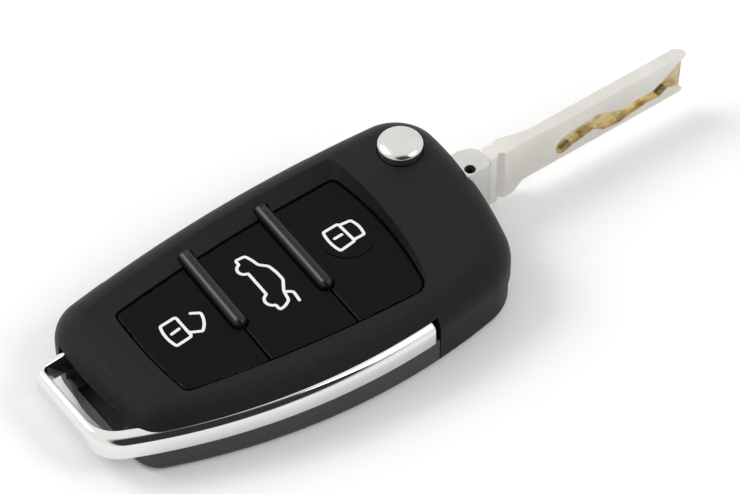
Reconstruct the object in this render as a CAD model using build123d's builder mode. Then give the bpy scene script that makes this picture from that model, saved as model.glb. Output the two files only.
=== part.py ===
"""A folding car key with a remote control, lying on its back with the blade swung out.

The origin is the middle of the flat back face. +X runs along the key towards the blade's tip,
+Y towards the side that the blade folds into, and +Z out of the button face. Millimetres.
"""

import os
from math import atan2, cos, hypot, radians, sin

from build123d import *

os.makedirs("parts", exist_ok=True)

OUTSIDE = 60.0  # farther out than any face of the housing

# Driving dimensions: the housing seen from above, four arcs that meet at four corners

FAR_TAIL = (-36.4, 15.6)
FAR_CROWN = (7.0, 19.5)
FAR_BLADE = (34.4, 17.8)
END_CROWN = (34.6, 1.0)
NEAR_BLADE = (30.4, -17.5)
NEAR_CROWN = (4.0, -20.6)
NEAR_TAIL = (-35.9, -11.9)
TAIL_CROWN = (-37.4, 3.0)
FAR_TAIL_RADIUS = 7.0
FAR_BLADE_RADIUS = 8.5
NEAR_BLADE_RADIUS = 9.5
NEAR_TAIL_RADIUS = 5.5

# Driving dimensions: the housing's levels and walls

SEAM_Z = 6.0
SEAM_GAP = 0.12
TOP_EDGE_RADIUS = 4.8
BACK_EDGE_RADIUS = 1.6
LOWER_INSET = 0.3
LOWER_WALL = 1.5
COVER_FLOOR = 1.3
HEAD_FLOOR = 1.5
UPPER_WALL = 3.4
CEILING_Z = 10.7
CROWN_STATION = 45.0
CROWN_HALF_WIDTH = 26.0
TAIL_CROWN_HEIGHTS = (12.55, 12.35, 11.55)
BLADE_CROWN_HEIGHTS = (14.0, 14.9, 10.7)
COVER_SPLIT_X = 13.2
COVER_SPLIT_GAP = 0.2

# Driving dimensions: the hollow under the tail's overhang and the ledge below it

HOLLOW_BACK_X = -33.2
HOLLOW_FAR_Y = 9.3
HOLLOW_NEAR_Y = -7.0
HOLLOW_TOP_Z = 9.4
HOLLOW_FLOOR_Z = 1.9
LEDGE_TOP_Z = 3.0
LEDGE_TIP_X = -38.0
LEDGE_DEPTH = 2.2
LEDGE_TAPER = 25.0
LEDGE_INNER_X = -36.5
LEDGE_FAR_Y = 10.4
LEDGE_NEAR_Y = -6.6
CAVITY_BLADE_X = 18.2
WELL_GAP = 0.2

# Driving dimensions: the key-ring bow

BOW_WIDTH = 2.5
BOW_BAR_WIDTH = 1.5
BOW_BOTTOM_Z = 6.0
BOW_HEIGHT = 4.25
BOW_EDGE_RADIUS = 0.6
BOW_PROUD = 0.3
BOW_BAR_X = -42.6
BOW_FAR_Y = 9.25
BOW_NEAR_RADIUS = 7.0
BOW_INNER_RADIUS = 5.4
BOW_FAR_RADIUS = 1.75
BOW_ARM_END_X = 12.15
BOW_SHORT_ARM_END = (-31.5, 10.35)
BOW_NOTCH = 0.9
BOW_CLEARANCE = 0.06
BOW_REBATE_DEPTH = 0.3

# Driving dimensions: the button panel

PANEL_TOP_Z = 12.4
PANEL_FAR_TAIL = (-27.5, 8.8)
PANEL_FAR_CROWN = (-5.0, 11.35)
PANEL_FAR_BLADE = (15.9, 12.1)
PANEL_END_CROWN = (16.75, 2.0)
PANEL_NEAR_BLADE = (14.3, -14.7)
PANEL_NEAR_CROWN = (-6.0, -13.4)
PANEL_NEAR_TAIL = (-27.1, -10.0)
PANEL_TAIL_CROWN = (-27.9, -0.6)
PANEL_CORNER_RADIUS = 1.1
PANEL_NEAR_BLADE_RADIUS = 2.4
PANEL_GAP = 0.3
SCOOP_FLOOR_Z = 12.45
SCOOP_TAIL_RIM_Z = 13.15
SCOOP_BLADE_RIM_Z = 14.45
SCOOP_FAR_TAIL = (-34.0, 13.2)
SCOOP_FAR_CROWN = (-9.0, 15.45)
SCOOP_FAR_BLADE = (17.5, 15.2)
SCOOP_END_CROWN = (17.9, 2.5)
SCOOP_NEAR_BLADE = (15.4, -18.5)
SCOOP_NEAR_CROWN = (-7.0, -18.5)
SCOOP_NEAR_TAIL = (-33.0, -13.5)
SCOOP_TAIL_CROWN = (-34.3, -0.6)
SCOOP_CORNER_RADIUS = 1.9
BUTTON_THICKNESS = 1.2
BUTTON_EDGE_RADIUS = 0.3
BUTTON_SPLIT_GAP = 0.26
BUTTON_TRAVEL = 0.3
SPLIT_TAIL_SIDE = ((-12.1, 16.0), (-13.55, -16.0))
SPLIT_BLADE_SIDE = ((2.9, 16.0), (1.85, -16.0))
RIDGE_WIDTH = 2.5
RIDGE_RISE = 1.3
RIDGE_EDGE_RADIUS = 1.2
RIDGE_SLOT_GAP = 0.12
RIDGE_TAIL_ENDS = (12.5, -4.7)
RIDGE_BLADE_ENDS = (13.5, -6.1)
DISC_CENTRE = (10.5, 1.0)
DISC_RADIUS = 4.4
DISC_RISE = 0.14
FRAME_THICKNESS = 0.7
FRAME_MARGIN = 1.2
SEAL_THICKNESS = 0.6
SEAL_GAP = 0.06
SEAL_INSET = 0.5
POST_RADIUS = 1.7
POST_HOLE_GAP = 0.35
UNLOCK_POST = (-20.4, -0.6)
BOOT_POST = (-5.6, -0.9)
LOCK_POST = (8.6, -1.0)

# Driving dimensions: the electronics and the battery

BOARD_BOTTOM_Z = 6.8
BOARD_THICKNESS = 0.8
BOARD_TAIL_X = -30.5
BOARD_CUT = (-21.2, -9.9)
BOARD_BLADE_X = 14.8
BOARD_FAR_Y = 9.0
BOARD_NEAR_Y = -13.2
SWITCH_SIDE = 4.5
SWITCH_HEIGHT = 1.2
PLUNGER_RADIUS = 1.2
PLUNGER_RISE = 0.45
PLUNGER_DEPTH = 0.5
PLUNGER_FIT = 0.06
CELL_RADIUS = 10.0
CELL_HEIGHT = 3.2
CELL_STEP = 0.35
CELL_CENTRE = (-15.0, -1.8)
CELL_GAP = 0.1
CELL_SIDE_GAP = 0.25
TRAY_BOTTOM_Z = 4.95
TRAY_THICKNESS = 0.8
TRAY_RING_WALL = 1.0
TRAY_RING_DEPTH = 2.9
TRAY_BLADE_X = 12.8
TRAY_FAR_Y = 13.0
CONTACT_THICKNESS = 0.25
CONTACT_WIDTH = 4.0
CONTACT_LENGTH = 9.0
CONTACT_GAP = 0.06

# Driving dimensions: the two case screws and the tongues of the lower shell that they hold

SCREW_PLACES = ((9.5, -15.8), (9.5, 11.4))
SCREW_RADIUS = 0.8
SCREW_HEAD_RADIUS = 1.45
SCREW_HEAD_HEIGHT = 0.9
SCREW_TOP_Z = 8.0
SCREW_FIT = 0.02
BOSS_RADIUS = 1.9
BOSS_GAP = 0.2
TONGUE_BOTTOM_Z = 1.6
TONGUE_TOP_Z = 3.0
TONGUE_TAIL_X = 7.2
TONGUE_BLADE_X = 16.2

# Driving dimensions: the pivot and the release button, in the blade's own slightly tilted frame

PIVOT = (27.4, 9.55)
BLADE_TILT = 1.05
FOLD_DEGREES = 184.0
HUB_RADIUS = 6.7
HUB_BOTTOM_Z = 1.9
HUB_TOP_Z = 12.75
HUB_COLLAR_RADIUS = 4.9
HUB_COLLAR_RISE = 0.7
HUB_BORE_RADIUS = 4.1
HUB_SEAT_GAP = 0.4
RUNNING_FIT = 0.07
PIVOT_POST_RADIUS = 2.6
PIVOT_POST_TOP_Z = 4.0
RELEASE_RADIUS = 3.7
RELEASE_TOP_Z = 16.85
RELEASE_EDGE_RADIUS = 0.4
RELEASE_DOME = 0.2
RELEASE_SKIRT_BOTTOM_Z = 12.7
RELEASE_HOLE_GAP = 0.12
RELEASE_STEM_RADIUS = 1.6
RELEASE_STEM_GAP = 0.7
RELEASE_TRAVEL = 1.5
SPRING_RADIUS = 3.25
SPRING_WIRE_RADIUS = 0.35
SPRING_TURNS = 6
SPRING_SEAT_GAP = 0.05

# Driving dimensions: the blade and its carrier's nose, seen from above

BLADE_TOP_Z = 12.45
BLADE_HEIGHT = 8.75
BLADE_THICKNESS = 1.9
BLADE_NEAR_Y = 0.45
BLADE_TIP_X = 78.1
BLADE_TIP_RAKE = 0.4
BLADE_TIP_CHAMFER = 0.5
BLADE_TIP_BEVEL = (1.3, 1.1)
BLADE_LAND_WIDTH = 1.2
BLADE_LAND_DROP = 0.3
BLADE_LAND_X = 50.0
ROOT_HEIGHT = 10.55
SHOULDER_LENGTH = 1.05
SHOULDER_RUN = 3.2
SHOULDER_TAPER = 2.2
SHOULDER_FAR_Y = 3.6
NECK_FAR_Y = 3.45
NECK_NOTCH_FAR_Y = 3.15
NECK_LENGTH = 2.0
GROOVE_HALF_WIDTH = 0.85
GROOVE_DEPTH = 0.6
NOSE_TIP_X = 38.6
NOSE_NEAR_Y = -0.35
NOSE_FAR_Y = 5.0
NOSE_BACK_X = 24.6
NOSE_BEVEL = (1.1, 0.85)
NOSE_FAR_CUTS = ((38.4, 3.15), (37.4, 4.4), (35.6, 5.0))
TANG_BACK_X = 31.2
TANG_NEAR_Y = 0.5
TANG_FAR_Y = 3.0
TANG_BOTTOM_Z = 3.4
TANG_TOP_Z = 11.2
TANG_FIT = 0.03
PIN_CENTRE = (34.7, 0.8)
PIN_RADIUS = 0.9
PIN_RECESS = 0.9
PIN_BOTTOM_Z = 2.4
PIN_SLIT = 0.35
PIN_WALL = 0.4
TRACK_DEPTH = 0.9
TRACK_CORNER_RADIUS = 0.4
TRACK_UPPER_EDGE = (
    (51.8, 6.9), (52.8, 8.2), (55.0, 8.6), (58.0, 9.1), (60.4, 9.25), (61.9, 8.7), (64.0, 7.6),
    (66.4, 7.1), (68.8, 7.6), (71.6, 7.4), (73.6, 8.4), (80.0, 12.8),
)
TRACK_LOWER_EDGE = (
    (80.0, 2.2), (77.2, 5.3), (74.9, 6.3), (73.2, 5.2), (70.8, 5.4), (66.6, 4.8), (64.8, 4.4),
    (61.5, 4.9), (59.5, 6.3), (57.2, 5.7), (55.2, 5.4), (53.2, 4.6), (51.9, 5.5),
)
BAY_GAP = 0.4
BAY_CEILING_GAP = 0.25
SLOT_CEILING_GAP = 0.2
PARTITION = 1.0
PARTITION_BOTTOM_Z = 3.5

# Driving dimensions: the small parts on the board and in the head

CHIP_PLACE = (1.6, -9.0)
CHIP_SIZE = (5.0, 5.0, 0.9)
CRYSTAL_PLACE = (-5.0, -9.3)
CRYSTAL_SIZE = (3.2, 2.5, 0.8)
COIL_PLACE = (-26.6, -3.0)
COIL_SIZE = (2.9, 7.4, 1.5)
CAPACITOR_PLACE = (-15.0, -8.8)
CAPACITOR_STEP = 1.7
CAPACITOR_COUNT = 5
CAPACITOR_SIZE = (1.0, 0.5, 0.5)
CAPSULE_PLACE = (24.6, -9.1)
CAPSULE_SIZE = (6.0, 12.0, 3.0)
CAPSULE_GAP = 0.1
CAPSULE_RIB = 0.8
CAPSULE_RIB_HEIGHT = 1.4
STANDOFF_RADIUS = 1.0
STANDOFF_PLACES = ((-28.2, -7.6), (-28.2, 6.4), (11.2, -9.6), (6.0, 6.6))


def at_corner(sketch, point):
    """The vertex of a sketch that lies nearest to a point of the plan."""
    return sketch.vertices().sort_by_distance((point[0], point[1], 0))[0]


def arc_plan(corners, crowns, radii, growth=0):
    """A closed plan of bulging sides, each an arc from corner to corner through its crown.

    The corners are rounded, and the whole plan can be grown outwards, or inwards by a negative growth.
    """
    with BuildSketch(mode=Mode.PRIVATE) as plan:
        for index, crown in enumerate(crowns):
            side = ThreePointArc(corners[index], crown, corners[(index + 1) % len(corners)])
            with Locations((side.arc_center.X, side.arc_center.Y)):
                Circle(side.radius + growth, mode=Mode.INTERSECT if index else Mode.ADD)
        for corner, radius in zip(corners, radii):
            fillet(at_corner(plan, corner), radius=radius + growth)
    return plan.sketch


def housing_at(growth):
    """The housing's plan, grown by an amount."""
    corners = (FAR_TAIL, FAR_BLADE, NEAR_BLADE, NEAR_TAIL)
    crowns = (FAR_CROWN, END_CROWN, NEAR_CROWN, TAIL_CROWN)
    radii = (FAR_TAIL_RADIUS, FAR_BLADE_RADIUS, NEAR_BLADE_RADIUS, NEAR_TAIL_RADIUS)
    return arc_plan(corners, crowns, radii, growth)


def panel_at(growth):
    """The button panel's plan, grown by an amount."""
    corners = (PANEL_FAR_TAIL, PANEL_FAR_BLADE, PANEL_NEAR_BLADE, PANEL_NEAR_TAIL)
    crowns = (PANEL_FAR_CROWN, PANEL_END_CROWN, PANEL_NEAR_CROWN, PANEL_TAIL_CROWN)
    radii = (PANEL_CORNER_RADIUS, PANEL_CORNER_RADIUS, PANEL_NEAR_BLADE_RADIUS, PANEL_CORNER_RADIUS)
    return arc_plan(corners, crowns, radii, growth)


def grown(plan, amount):
    """The plan moved outwards by an amount, or inwards by a negative one."""
    with BuildSketch(mode=Mode.PRIVATE) as moved:
        add(plan)
        offset(amount=amount, kind=Kind.INTERSECTION)
    return moved.sketch


def rectangle_plan(low, high):
    """A rectangle from its lowest to its highest corner."""
    with BuildSketch(mode=Mode.PRIVATE) as plan:
        with Locations(((low[0] + high[0]) / 2, (low[1] + high[1]) / 2)):
            Rectangle(high[0] - low[0], high[1] - low[1])
    return plan.sketch


def polygon_plan(*points):
    """A polygon through the points given."""
    with BuildSketch(mode=Mode.PRIVATE) as plan:
        with BuildLine():
            Polyline(*points, close=True)
        make_face()
    return plan.sketch


def finish(part, name):
    """Names a finished piece and writes it out."""
    part.label = name
    export_step(part, f"parts/{name}.step")
    solids = len(part.solids())
    print(f"{name:22s} solids {solids} volume {part.volume:9.2f} valid {part.is_valid}")


# Plans shared by several pieces

housing_plan = housing_at(0)
lower_plan = housing_at(-LOWER_INSET)
lower_inner_plan = housing_at(-LOWER_INSET - LOWER_WALL)
tray_room_plan = housing_at(-LOWER_INSET - LOWER_WALL - WELL_GAP)
cavity_plan = housing_at(-UPPER_WALL)
panel_plan = panel_at(0)
window_plan = panel_at(PANEL_GAP)


def about_pivot(*points):
    """Points of the plan measured from the pivot, as the blade's own frame has them."""
    return [(x - PIVOT[0], y - PIVOT[1]) for x, y in points]


def folded(plan):
    """A plan of the blade's frame, swung to where the folded blade lies."""
    return Rot(0, 0, FOLD_DEGREES) * plan


def clearance_strip(start_x, end_x, far_y):
    """The strip that a stretch of the folded blade needs, open to the side that it swings in from."""
    low, high = about_pivot((start_x - BAY_GAP, -OUTSIDE), (end_x + BAY_GAP, far_y + BAY_GAP))
    return folded(rectangle_plan(low, high))


def split_x(line, y):
    """Where a button's dividing line crosses the height y of the plan."""
    (x0, y0), (x1, y1) = line
    return x0 + (x1 - x0) * (y - y0) / (y1 - y0)


def strip_plan(line, ends, width, gap):
    """A straight strip of a width along a dividing line, round at its near end, with a gap round it."""
    half = width / 2 + gap
    far, near = ends[0] + gap, ends[1] - gap
    round_y = near + half
    far_x, round_x, near_x = split_x(line, far), split_x(line, round_y), split_x(line, near)
    far_side = ((far_x - half, far), (far_x + half, far))
    near_side = ((round_x + half, round_y), (near_x, near), (round_x - half, round_y))
    with BuildSketch(mode=Mode.PRIVATE) as strip:
        with BuildLine():
            Polyline(near_side[-1], *far_side, near_side[0])
            ThreePointArc(*near_side)
        make_face()
    return strip.sketch


def bow_outline(bar_x, far_shift, arm_inset, near_radius):
    """One edge of the key-ring bow from above: round the tail, along the near side and the short arm."""
    near_edge = ThreePointArc(NEAR_BLADE, NEAR_CROWN, NEAR_TAIL)
    middle = near_edge.arc_center
    short_x, short_y = BOW_SHORT_ARM_END
    short_y += far_shift
    far_corner = (bar_x, BOW_FAR_Y + far_shift)
    with BuildSketch(mode=Mode.PRIVATE) as whole:
        with Locations((middle.X, middle.Y)):
            Circle(near_edge.radius + BOW_PROUD - arm_inset)
        rim = (far_corner, (short_x, short_y), (OUTSIDE, short_y), (OUTSIDE, -OUTSIDE))
        add(polygon_plan(*rim, (bar_x, -OUTSIDE)), mode=Mode.INTERSECT)
        fillet(at_corner(whole, far_corner), radius=BOW_FAR_RADIUS + far_shift)
        fillet(at_corner(whole, (bar_x, NEAR_TAIL[1])), radius=near_radius)
    return whole.sketch


def bow_plan(arm_end_x, gap):
    """The key-ring bow from above: a bar across the tail, a long arm and a short one, with a gap round it."""
    half = BOW_BAR_WIDTH / 2
    with BuildSketch(mode=Mode.PRIVATE) as plan:
        add(bow_outline(BOW_BAR_X, half, 0, BOW_NEAR_RADIUS))
        add(bow_outline(BOW_BAR_X + BOW_BAR_WIDTH, -half, BOW_WIDTH, BOW_INNER_RADIUS), mode=Mode.SUBTRACT)
        beyond_short_arm = (BOW_SHORT_ARM_END[0], NEAR_TAIL[1] + BOW_WIDTH)
        add(rectangle_plan(beyond_short_arm, (OUTSIDE, OUTSIDE)), mode=Mode.SUBTRACT)
        add(rectangle_plan((arm_end_x, -OUTSIDE), (2 * OUTSIDE, OUTSIDE)), mode=Mode.SUBTRACT)
        offset(amount=gap, kind=Kind.INTERSECTION)
    return plan.sketch


def round_places(places, radius):
    """A circle at each place."""
    with BuildSketch(mode=Mode.PRIVATE) as plan:
        with Locations(*places):
            Circle(radius)
    return plan.sketch


# The blade's own frame: its axis leans back towards the tail, as the top face does

tilt = radians(BLADE_TILT)
hub_plane = Plane(
    origin=(PIVOT[0], PIVOT[1], 0),
    x_dir=(cos(tilt), 0, sin(tilt)),
    z_dir=(-sin(tilt), 0, cos(tilt)),
)
hub_section = Plane(origin=hub_plane.origin, x_dir=hub_plane.x_dir, z_dir=-hub_plane.y_dir)
hub_axis = Axis(hub_plane.origin, hub_plane.z_dir)
blade_bottom_z = BLADE_TOP_Z - BLADE_HEIGHT
root_bottom_z = BLADE_TOP_Z - ROOT_HEIGHT
blade_far_y = BLADE_NEAR_Y + BLADE_THICKNESS
groove_x = NOSE_TIP_X + NECK_LENGTH
root_end_x = groove_x + GROOVE_HALF_WIDTH + SHOULDER_LENGTH
blade_start_x = root_end_x + SHOULDER_RUN
blade_full_x = blade_start_x + SHOULDER_TAPER

nose_plan = polygon_plan(*about_pivot(
    (NOSE_BACK_X, NOSE_NEAR_Y),
    (NOSE_TIP_X - NOSE_BEVEL[0], NOSE_NEAR_Y),
    (NOSE_TIP_X, NOSE_NEAR_Y + NOSE_BEVEL[1]),
    *NOSE_FAR_CUTS,
    (NOSE_BACK_X, NOSE_FAR_Y),
))

# The bay that the carrier and the folded blade lie in, as three zones of different depth

nose_sweep_radius = hypot(NOSE_BACK_X - PIVOT[0], NOSE_NEAR_Y - PIVOT[1])
bay_near_y = PIVOT[1] - nose_sweep_radius - BAY_GAP / 2
with BuildSketch(mode=Mode.PRIVATE) as head_zone:
    Circle(HUB_RADIUS + BAY_GAP)
    add(rectangle_plan(*about_pivot((NOSE_BACK_X - BAY_GAP, bay_near_y), (OUTSIDE, OUTSIDE))))
    add(clearance_strip(NOSE_BACK_X, NOSE_FAR_CUTS[2][0], NOSE_FAR_Y))
    add(clearance_strip(NOSE_BACK_X, NOSE_TIP_X, NOSE_FAR_CUTS[0][1]))
    nose_corner_strip = folded(grown(nose_plan, BAY_GAP))
    add(nose_corner_strip)
shoulder_zone = clearance_strip(NOSE_TIP_X, blade_start_x, SHOULDER_FAR_Y)
blade_zone = clearance_strip(NOSE_TIP_X, BLADE_TIP_X + BLADE_TIP_RAKE, blade_far_y)
with BuildSketch(mode=Mode.PRIVATE) as bay:
    add(head_zone.sketch)
    add(shoulder_zone)
    add(blade_zone)
bay_plan = bay.sketch
partition_plan = Pos(*PIVOT) * grown(bay_plan, PARTITION)
bay_floor_z = root_bottom_z - BAY_GAP
bay_zones = (
    (head_zone.sketch, bay_floor_z, HUB_TOP_Z + BAY_CEILING_GAP),
    (shoulder_zone, bay_floor_z, BLADE_TOP_Z + SLOT_CEILING_GAP),
    (blade_zone, blade_bottom_z - BAY_GAP, BLADE_TOP_Z + SLOT_CEILING_GAP),
)

# The well under the buttons, and what has to fit into it

bow_plane = Plane(origin=(0, 0, BOW_BOTTOM_Z), x_dir=hub_plane.x_dir, z_dir=hub_plane.z_dir)
bow = bow_plan(BOW_ARM_END_X, 0)
bow_rebate = bow_plan(BOW_ARM_END_X + BOW_NOTCH, BOW_CLEARANCE)
boss_holes = round_places(SCREW_PLACES, BOSS_RADIUS + BOSS_GAP)
with BuildSketch(mode=Mode.PRIVATE) as well:
    add(cavity_plan)
    add(rectangle_plan((HOLLOW_BACK_X + PARTITION, -OUTSIDE), (CAVITY_BLADE_X, OUTSIDE)), mode=Mode.INTERSECT)
    add(partition_plan, mode=Mode.SUBTRACT)
    add(grown(bow_rebate, PARTITION), mode=Mode.SUBTRACT)
with BuildSketch(mode=Mode.PRIVATE) as board_outline:
    tail_side = ((BOARD_TAIL_X, BOARD_FAR_Y), (BOARD_TAIL_X, BOARD_CUT[1]), (BOARD_CUT[0], BOARD_NEAR_Y))
    add(polygon_plan(*tail_side, (BOARD_BLADE_X, BOARD_NEAR_Y), (BOARD_BLADE_X, BOARD_FAR_Y)))
    add(grown(well.sketch, -WELL_GAP), mode=Mode.INTERSECT)
with BuildSketch(mode=Mode.PRIVATE) as frame_outline:
    add(panel_at(FRAME_MARGIN))
    add(grown(well.sketch, -WELL_GAP), mode=Mode.INTERSECT)

post_places = (UNLOCK_POST, BOOT_POST, LOCK_POST)
board_top_z = BOARD_BOTTOM_Z + BOARD_THICKNESS
switch_top_z = board_top_z + SWITCH_HEIGHT
plunger_top_z = switch_top_z + PLUNGER_RISE
frame_bottom_z = CEILING_Z - FRAME_THICKNESS
ridges = ((SPLIT_TAIL_SIDE, RIDGE_TAIL_ENDS), (SPLIT_BLADE_SIDE, RIDGE_BLADE_ENDS))
split_tail_x = COVER_SPLIT_X - COVER_SPLIT_GAP / 2
split_blade_x = COVER_SPLIT_X + COVER_SPLIT_GAP / 2
scoop_plan = arc_plan(
    (SCOOP_FAR_TAIL, SCOOP_FAR_BLADE, SCOOP_NEAR_BLADE, SCOOP_NEAR_TAIL),
    (SCOOP_FAR_CROWN, SCOOP_END_CROWN, SCOOP_NEAR_CROWN, SCOOP_TAIL_CROWN),
    (SCOOP_CORNER_RADIUS,) * 2 + (PANEL_NEAR_BLADE_RADIUS + PANEL_GAP, SCOOP_CORNER_RADIUS),
)
rim_run = SCOOP_FAR_BLADE[0] - SCOOP_FAR_TAIL[0]
rim_rise = SCOOP_BLADE_RIM_Z - SCOOP_TAIL_RIM_Z
rim_tilt = atan2(rim_rise, rim_run)
scoop_rim_plane = Plane(
    origin=(0, 0, SCOOP_TAIL_RIM_Z - SCOOP_FAR_TAIL[0] * rim_rise / rim_run),
    x_dir=(cos(rim_tilt), 0, sin(rim_tilt)),
    z_dir=(-sin(rim_tilt), 0, cos(rim_tilt)),
)
cap_bottom_z = PANEL_TOP_Z - BUTTON_THICKNESS
ridge_top_z = PANEL_TOP_Z + RIDGE_RISE


# The upper half of the housing, with its crowned face and the sunken field for the buttons

with BuildPart() as upper_shell:
    with BuildSketch(Plane.XY.offset(SEAM_Z)):
        add(housing_plan)
    extrude(amount=RELEASE_TOP_Z - SEAM_Z)
    for station, heights in ((-CROWN_STATION, TAIL_CROWN_HEIGHTS), (CROWN_STATION, BLADE_CROWN_HEIGHTS)):
        with BuildSketch(Plane.YZ.offset(station)):
            with BuildLine():
                far_top = (CROWN_HALF_WIDTH, heights[0])
                near_top = (-CROWN_HALF_WIDTH, heights[2])
                ThreePointArc(far_top, (0, heights[1]), near_top)
                Polyline(near_top, (-CROWN_HALF_WIDTH, 0), (CROWN_HALF_WIDTH, 0), far_top)
            make_face()
    loft(ruled=True, mode=Mode.INTERSECT)
    fillet(upper_shell.faces().sort_by(Axis.Z)[-1].edges(), radius=TOP_EDGE_RADIUS)

    # what hangs below the seam: the partition beside the bay, and the two screw bosses
    with BuildSketch(Plane.XY.offset(PARTITION_BOTTOM_Z)):
        add(partition_plan)
        add(tray_room_plan, mode=Mode.INTERSECT)
    extrude(amount=SEAM_Z - PARTITION_BOTTOM_Z)

    # the well for the buttons and the board, the head's own hollow, and the window in the top face
    with BuildSketch(Plane.XY.offset(SEAM_Z)):
        add(well.sketch)
    extrude(amount=CEILING_Z - SEAM_Z, mode=Mode.SUBTRACT)
    with BuildSketch(Plane.XY.offset(SEAM_Z)):
        add(cavity_plan)
        head_start = (CAVITY_BLADE_X + PARTITION, -OUTSIDE)
        add(rectangle_plan(head_start, (OUTSIDE, bay_near_y - LOWER_WALL)), mode=Mode.INTERSECT)
    extrude(amount=CEILING_Z - SEAM_Z, mode=Mode.SUBTRACT)
    with BuildSketch(Plane.XY.offset(TONGUE_TOP_Z)):
        add(round_places(SCREW_PLACES, BOSS_RADIUS))
    extrude(amount=frame_bottom_z - SEAL_GAP - TONGUE_TOP_Z)
    with BuildSketch(Plane.XY.offset(CEILING_Z)):
        add(window_plan)
    extrude(amount=RELEASE_TOP_Z, mode=Mode.SUBTRACT)
    for line, ends in ridges:
        with BuildSketch(Plane.XY.offset(CEILING_Z)):
            add(strip_plan(line, ends, RIDGE_WIDTH, RIDGE_SLOT_GAP))
        extrude(amount=RELEASE_TOP_Z, mode=Mode.SUBTRACT)

    # the sunken field: its walls rise from the window to a rim that climbs with the top face
    with BuildSketch(Plane.XY.offset(SCOOP_FLOOR_Z)):
        add(window_plan)
    with BuildSketch(scoop_rim_plane):
        add(scoop_plan)
    loft(ruled=True, mode=Mode.SUBTRACT)

    # the bay for the carrier and the folded blade, open at the far side and at the blade's end
    for zone, floor_z, top_z in bay_zones:
        with BuildSketch(hub_plane.offset(floor_z)):
            add(zone)
        extrude(amount=top_z - floor_z, mode=Mode.SUBTRACT)
    with BuildSketch(hub_plane.offset(HUB_TOP_Z)):
        Circle(HUB_COLLAR_RADIUS + RUNNING_FIT)
    extrude(amount=HUB_COLLAR_RISE + BAY_CEILING_GAP, mode=Mode.SUBTRACT)
    with BuildSketch(hub_plane.offset(HUB_TOP_Z)):
        Circle(RELEASE_RADIUS + RELEASE_HOLE_GAP)
    extrude(amount=RELEASE_TOP_Z - HUB_TOP_Z, mode=Mode.SUBTRACT)

    # the rebate that the key-ring bow lies in, the hollow at the tail, and the holes for the screws
    with BuildSketch(bow_plane.offset(-BOW_REBATE_DEPTH)):
        add(bow_rebate)
    extrude(amount=BOW_REBATE_DEPTH + BOW_HEIGHT + BOW_CLEARANCE, mode=Mode.SUBTRACT)
    with BuildSketch(Plane.XY.offset(SEAM_Z)):
        add(rectangle_plan((-OUTSIDE, HOLLOW_NEAR_Y), (HOLLOW_BACK_X, HOLLOW_FAR_Y)))
    extrude(amount=HOLLOW_TOP_Z - SEAM_Z, mode=Mode.SUBTRACT)
    with BuildSketch(Plane.XY.offset(TONGUE_TOP_Z)):
        add(round_places(SCREW_PLACES, SCREW_RADIUS + SCREW_FIT))
    extrude(amount=SCREW_TOP_Z + SCREW_FIT - TONGUE_TOP_Z, mode=Mode.SUBTRACT)

finish(upper_shell.part, "upper_shell")


# The fixed lower shell round the head, with the post that the carrier turns on

with BuildPart() as lower_shell:
    with BuildSketch():
        add(lower_plan)
    extrude(amount=SEAM_Z - SEAM_GAP)
    fillet(lower_shell.faces().sort_by(Axis.Z)[0].edges(), radius=BACK_EDGE_RADIUS)
    with BuildSketch(Plane.XY.offset(HEAD_FLOOR)):
        add(lower_inner_plan)
    extrude(amount=SEAM_Z, mode=Mode.SUBTRACT)
    with BuildSketch():
        add(rectangle_plan((-OUTSIDE, -OUTSIDE), (split_blade_x, OUTSIDE)))
    extrude(amount=SEAM_Z, mode=Mode.SUBTRACT)

    # the low wall round the bay, the two tongues for the screws, and the capsule's cradle
    with BuildSketch(Plane.XY.offset(HEAD_FLOOR)):
        add(partition_plan)
        add(rectangle_plan((split_blade_x, -OUTSIDE), (OUTSIDE, OUTSIDE)), mode=Mode.INTERSECT)
        add(lower_inner_plan, mode=Mode.INTERSECT)
    extrude(amount=PARTITION_BOTTOM_Z - BOSS_GAP - HEAD_FLOOR)
    for place in SCREW_PLACES:
        low_y, high_y = place[1] - BOSS_RADIUS, place[1] + BOSS_RADIUS
        with BuildSketch(Plane.XY.offset(TONGUE_BOTTOM_Z)):
            add(rectangle_plan((TONGUE_TAIL_X, low_y), (TONGUE_BLADE_X, high_y)))
        extrude(amount=TONGUE_TOP_Z - TONGUE_BOTTOM_Z)
        with BuildSketch(Plane.XY.offset(HEAD_FLOOR / 2)):
            add(rectangle_plan((split_blade_x, low_y), (TONGUE_BLADE_X, high_y)))
        extrude(amount=TONGUE_TOP_Z - HEAD_FLOOR / 2)
    with BuildSketch(Plane.XY.offset(HEAD_FLOOR)):
        with Locations(CAPSULE_PLACE):
            inner_x, inner_y = (side + 2 * CAPSULE_GAP for side in CAPSULE_SIZE[:2])
            Rectangle(inner_x + 2 * CAPSULE_RIB, inner_y + 2 * CAPSULE_RIB)
            Rectangle(inner_x, inner_y, mode=Mode.SUBTRACT)
    extrude(amount=CAPSULE_RIB_HEIGHT)

    for zone, floor_z, top_z in bay_zones:
        with BuildSketch(hub_plane.offset(floor_z)):
            add(zone)
        extrude(amount=top_z - floor_z, mode=Mode.SUBTRACT)
    with BuildSketch(hub_plane.offset(HEAD_FLOOR / 2)):
        Circle(PIVOT_POST_RADIUS)
    extrude(amount=PIVOT_POST_TOP_Z - HEAD_FLOOR / 2)
    with BuildSketch(Plane.XY.offset(TONGUE_BOTTOM_Z)):
        add(round_places(SCREW_PLACES, SCREW_RADIUS + RUNNING_FIT))
    extrude(amount=TONGUE_TOP_Z - TONGUE_BOTTOM_Z, mode=Mode.SUBTRACT)
    with BuildSketch(Plane.XY.offset(TONGUE_BOTTOM_Z)):
        add(round_places(SCREW_PLACES, SCREW_HEAD_RADIUS + RUNNING_FIT))
    extrude(amount=SCREW_HEAD_HEIGHT, mode=Mode.SUBTRACT)

finish(lower_shell.part, "lower_shell")


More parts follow.
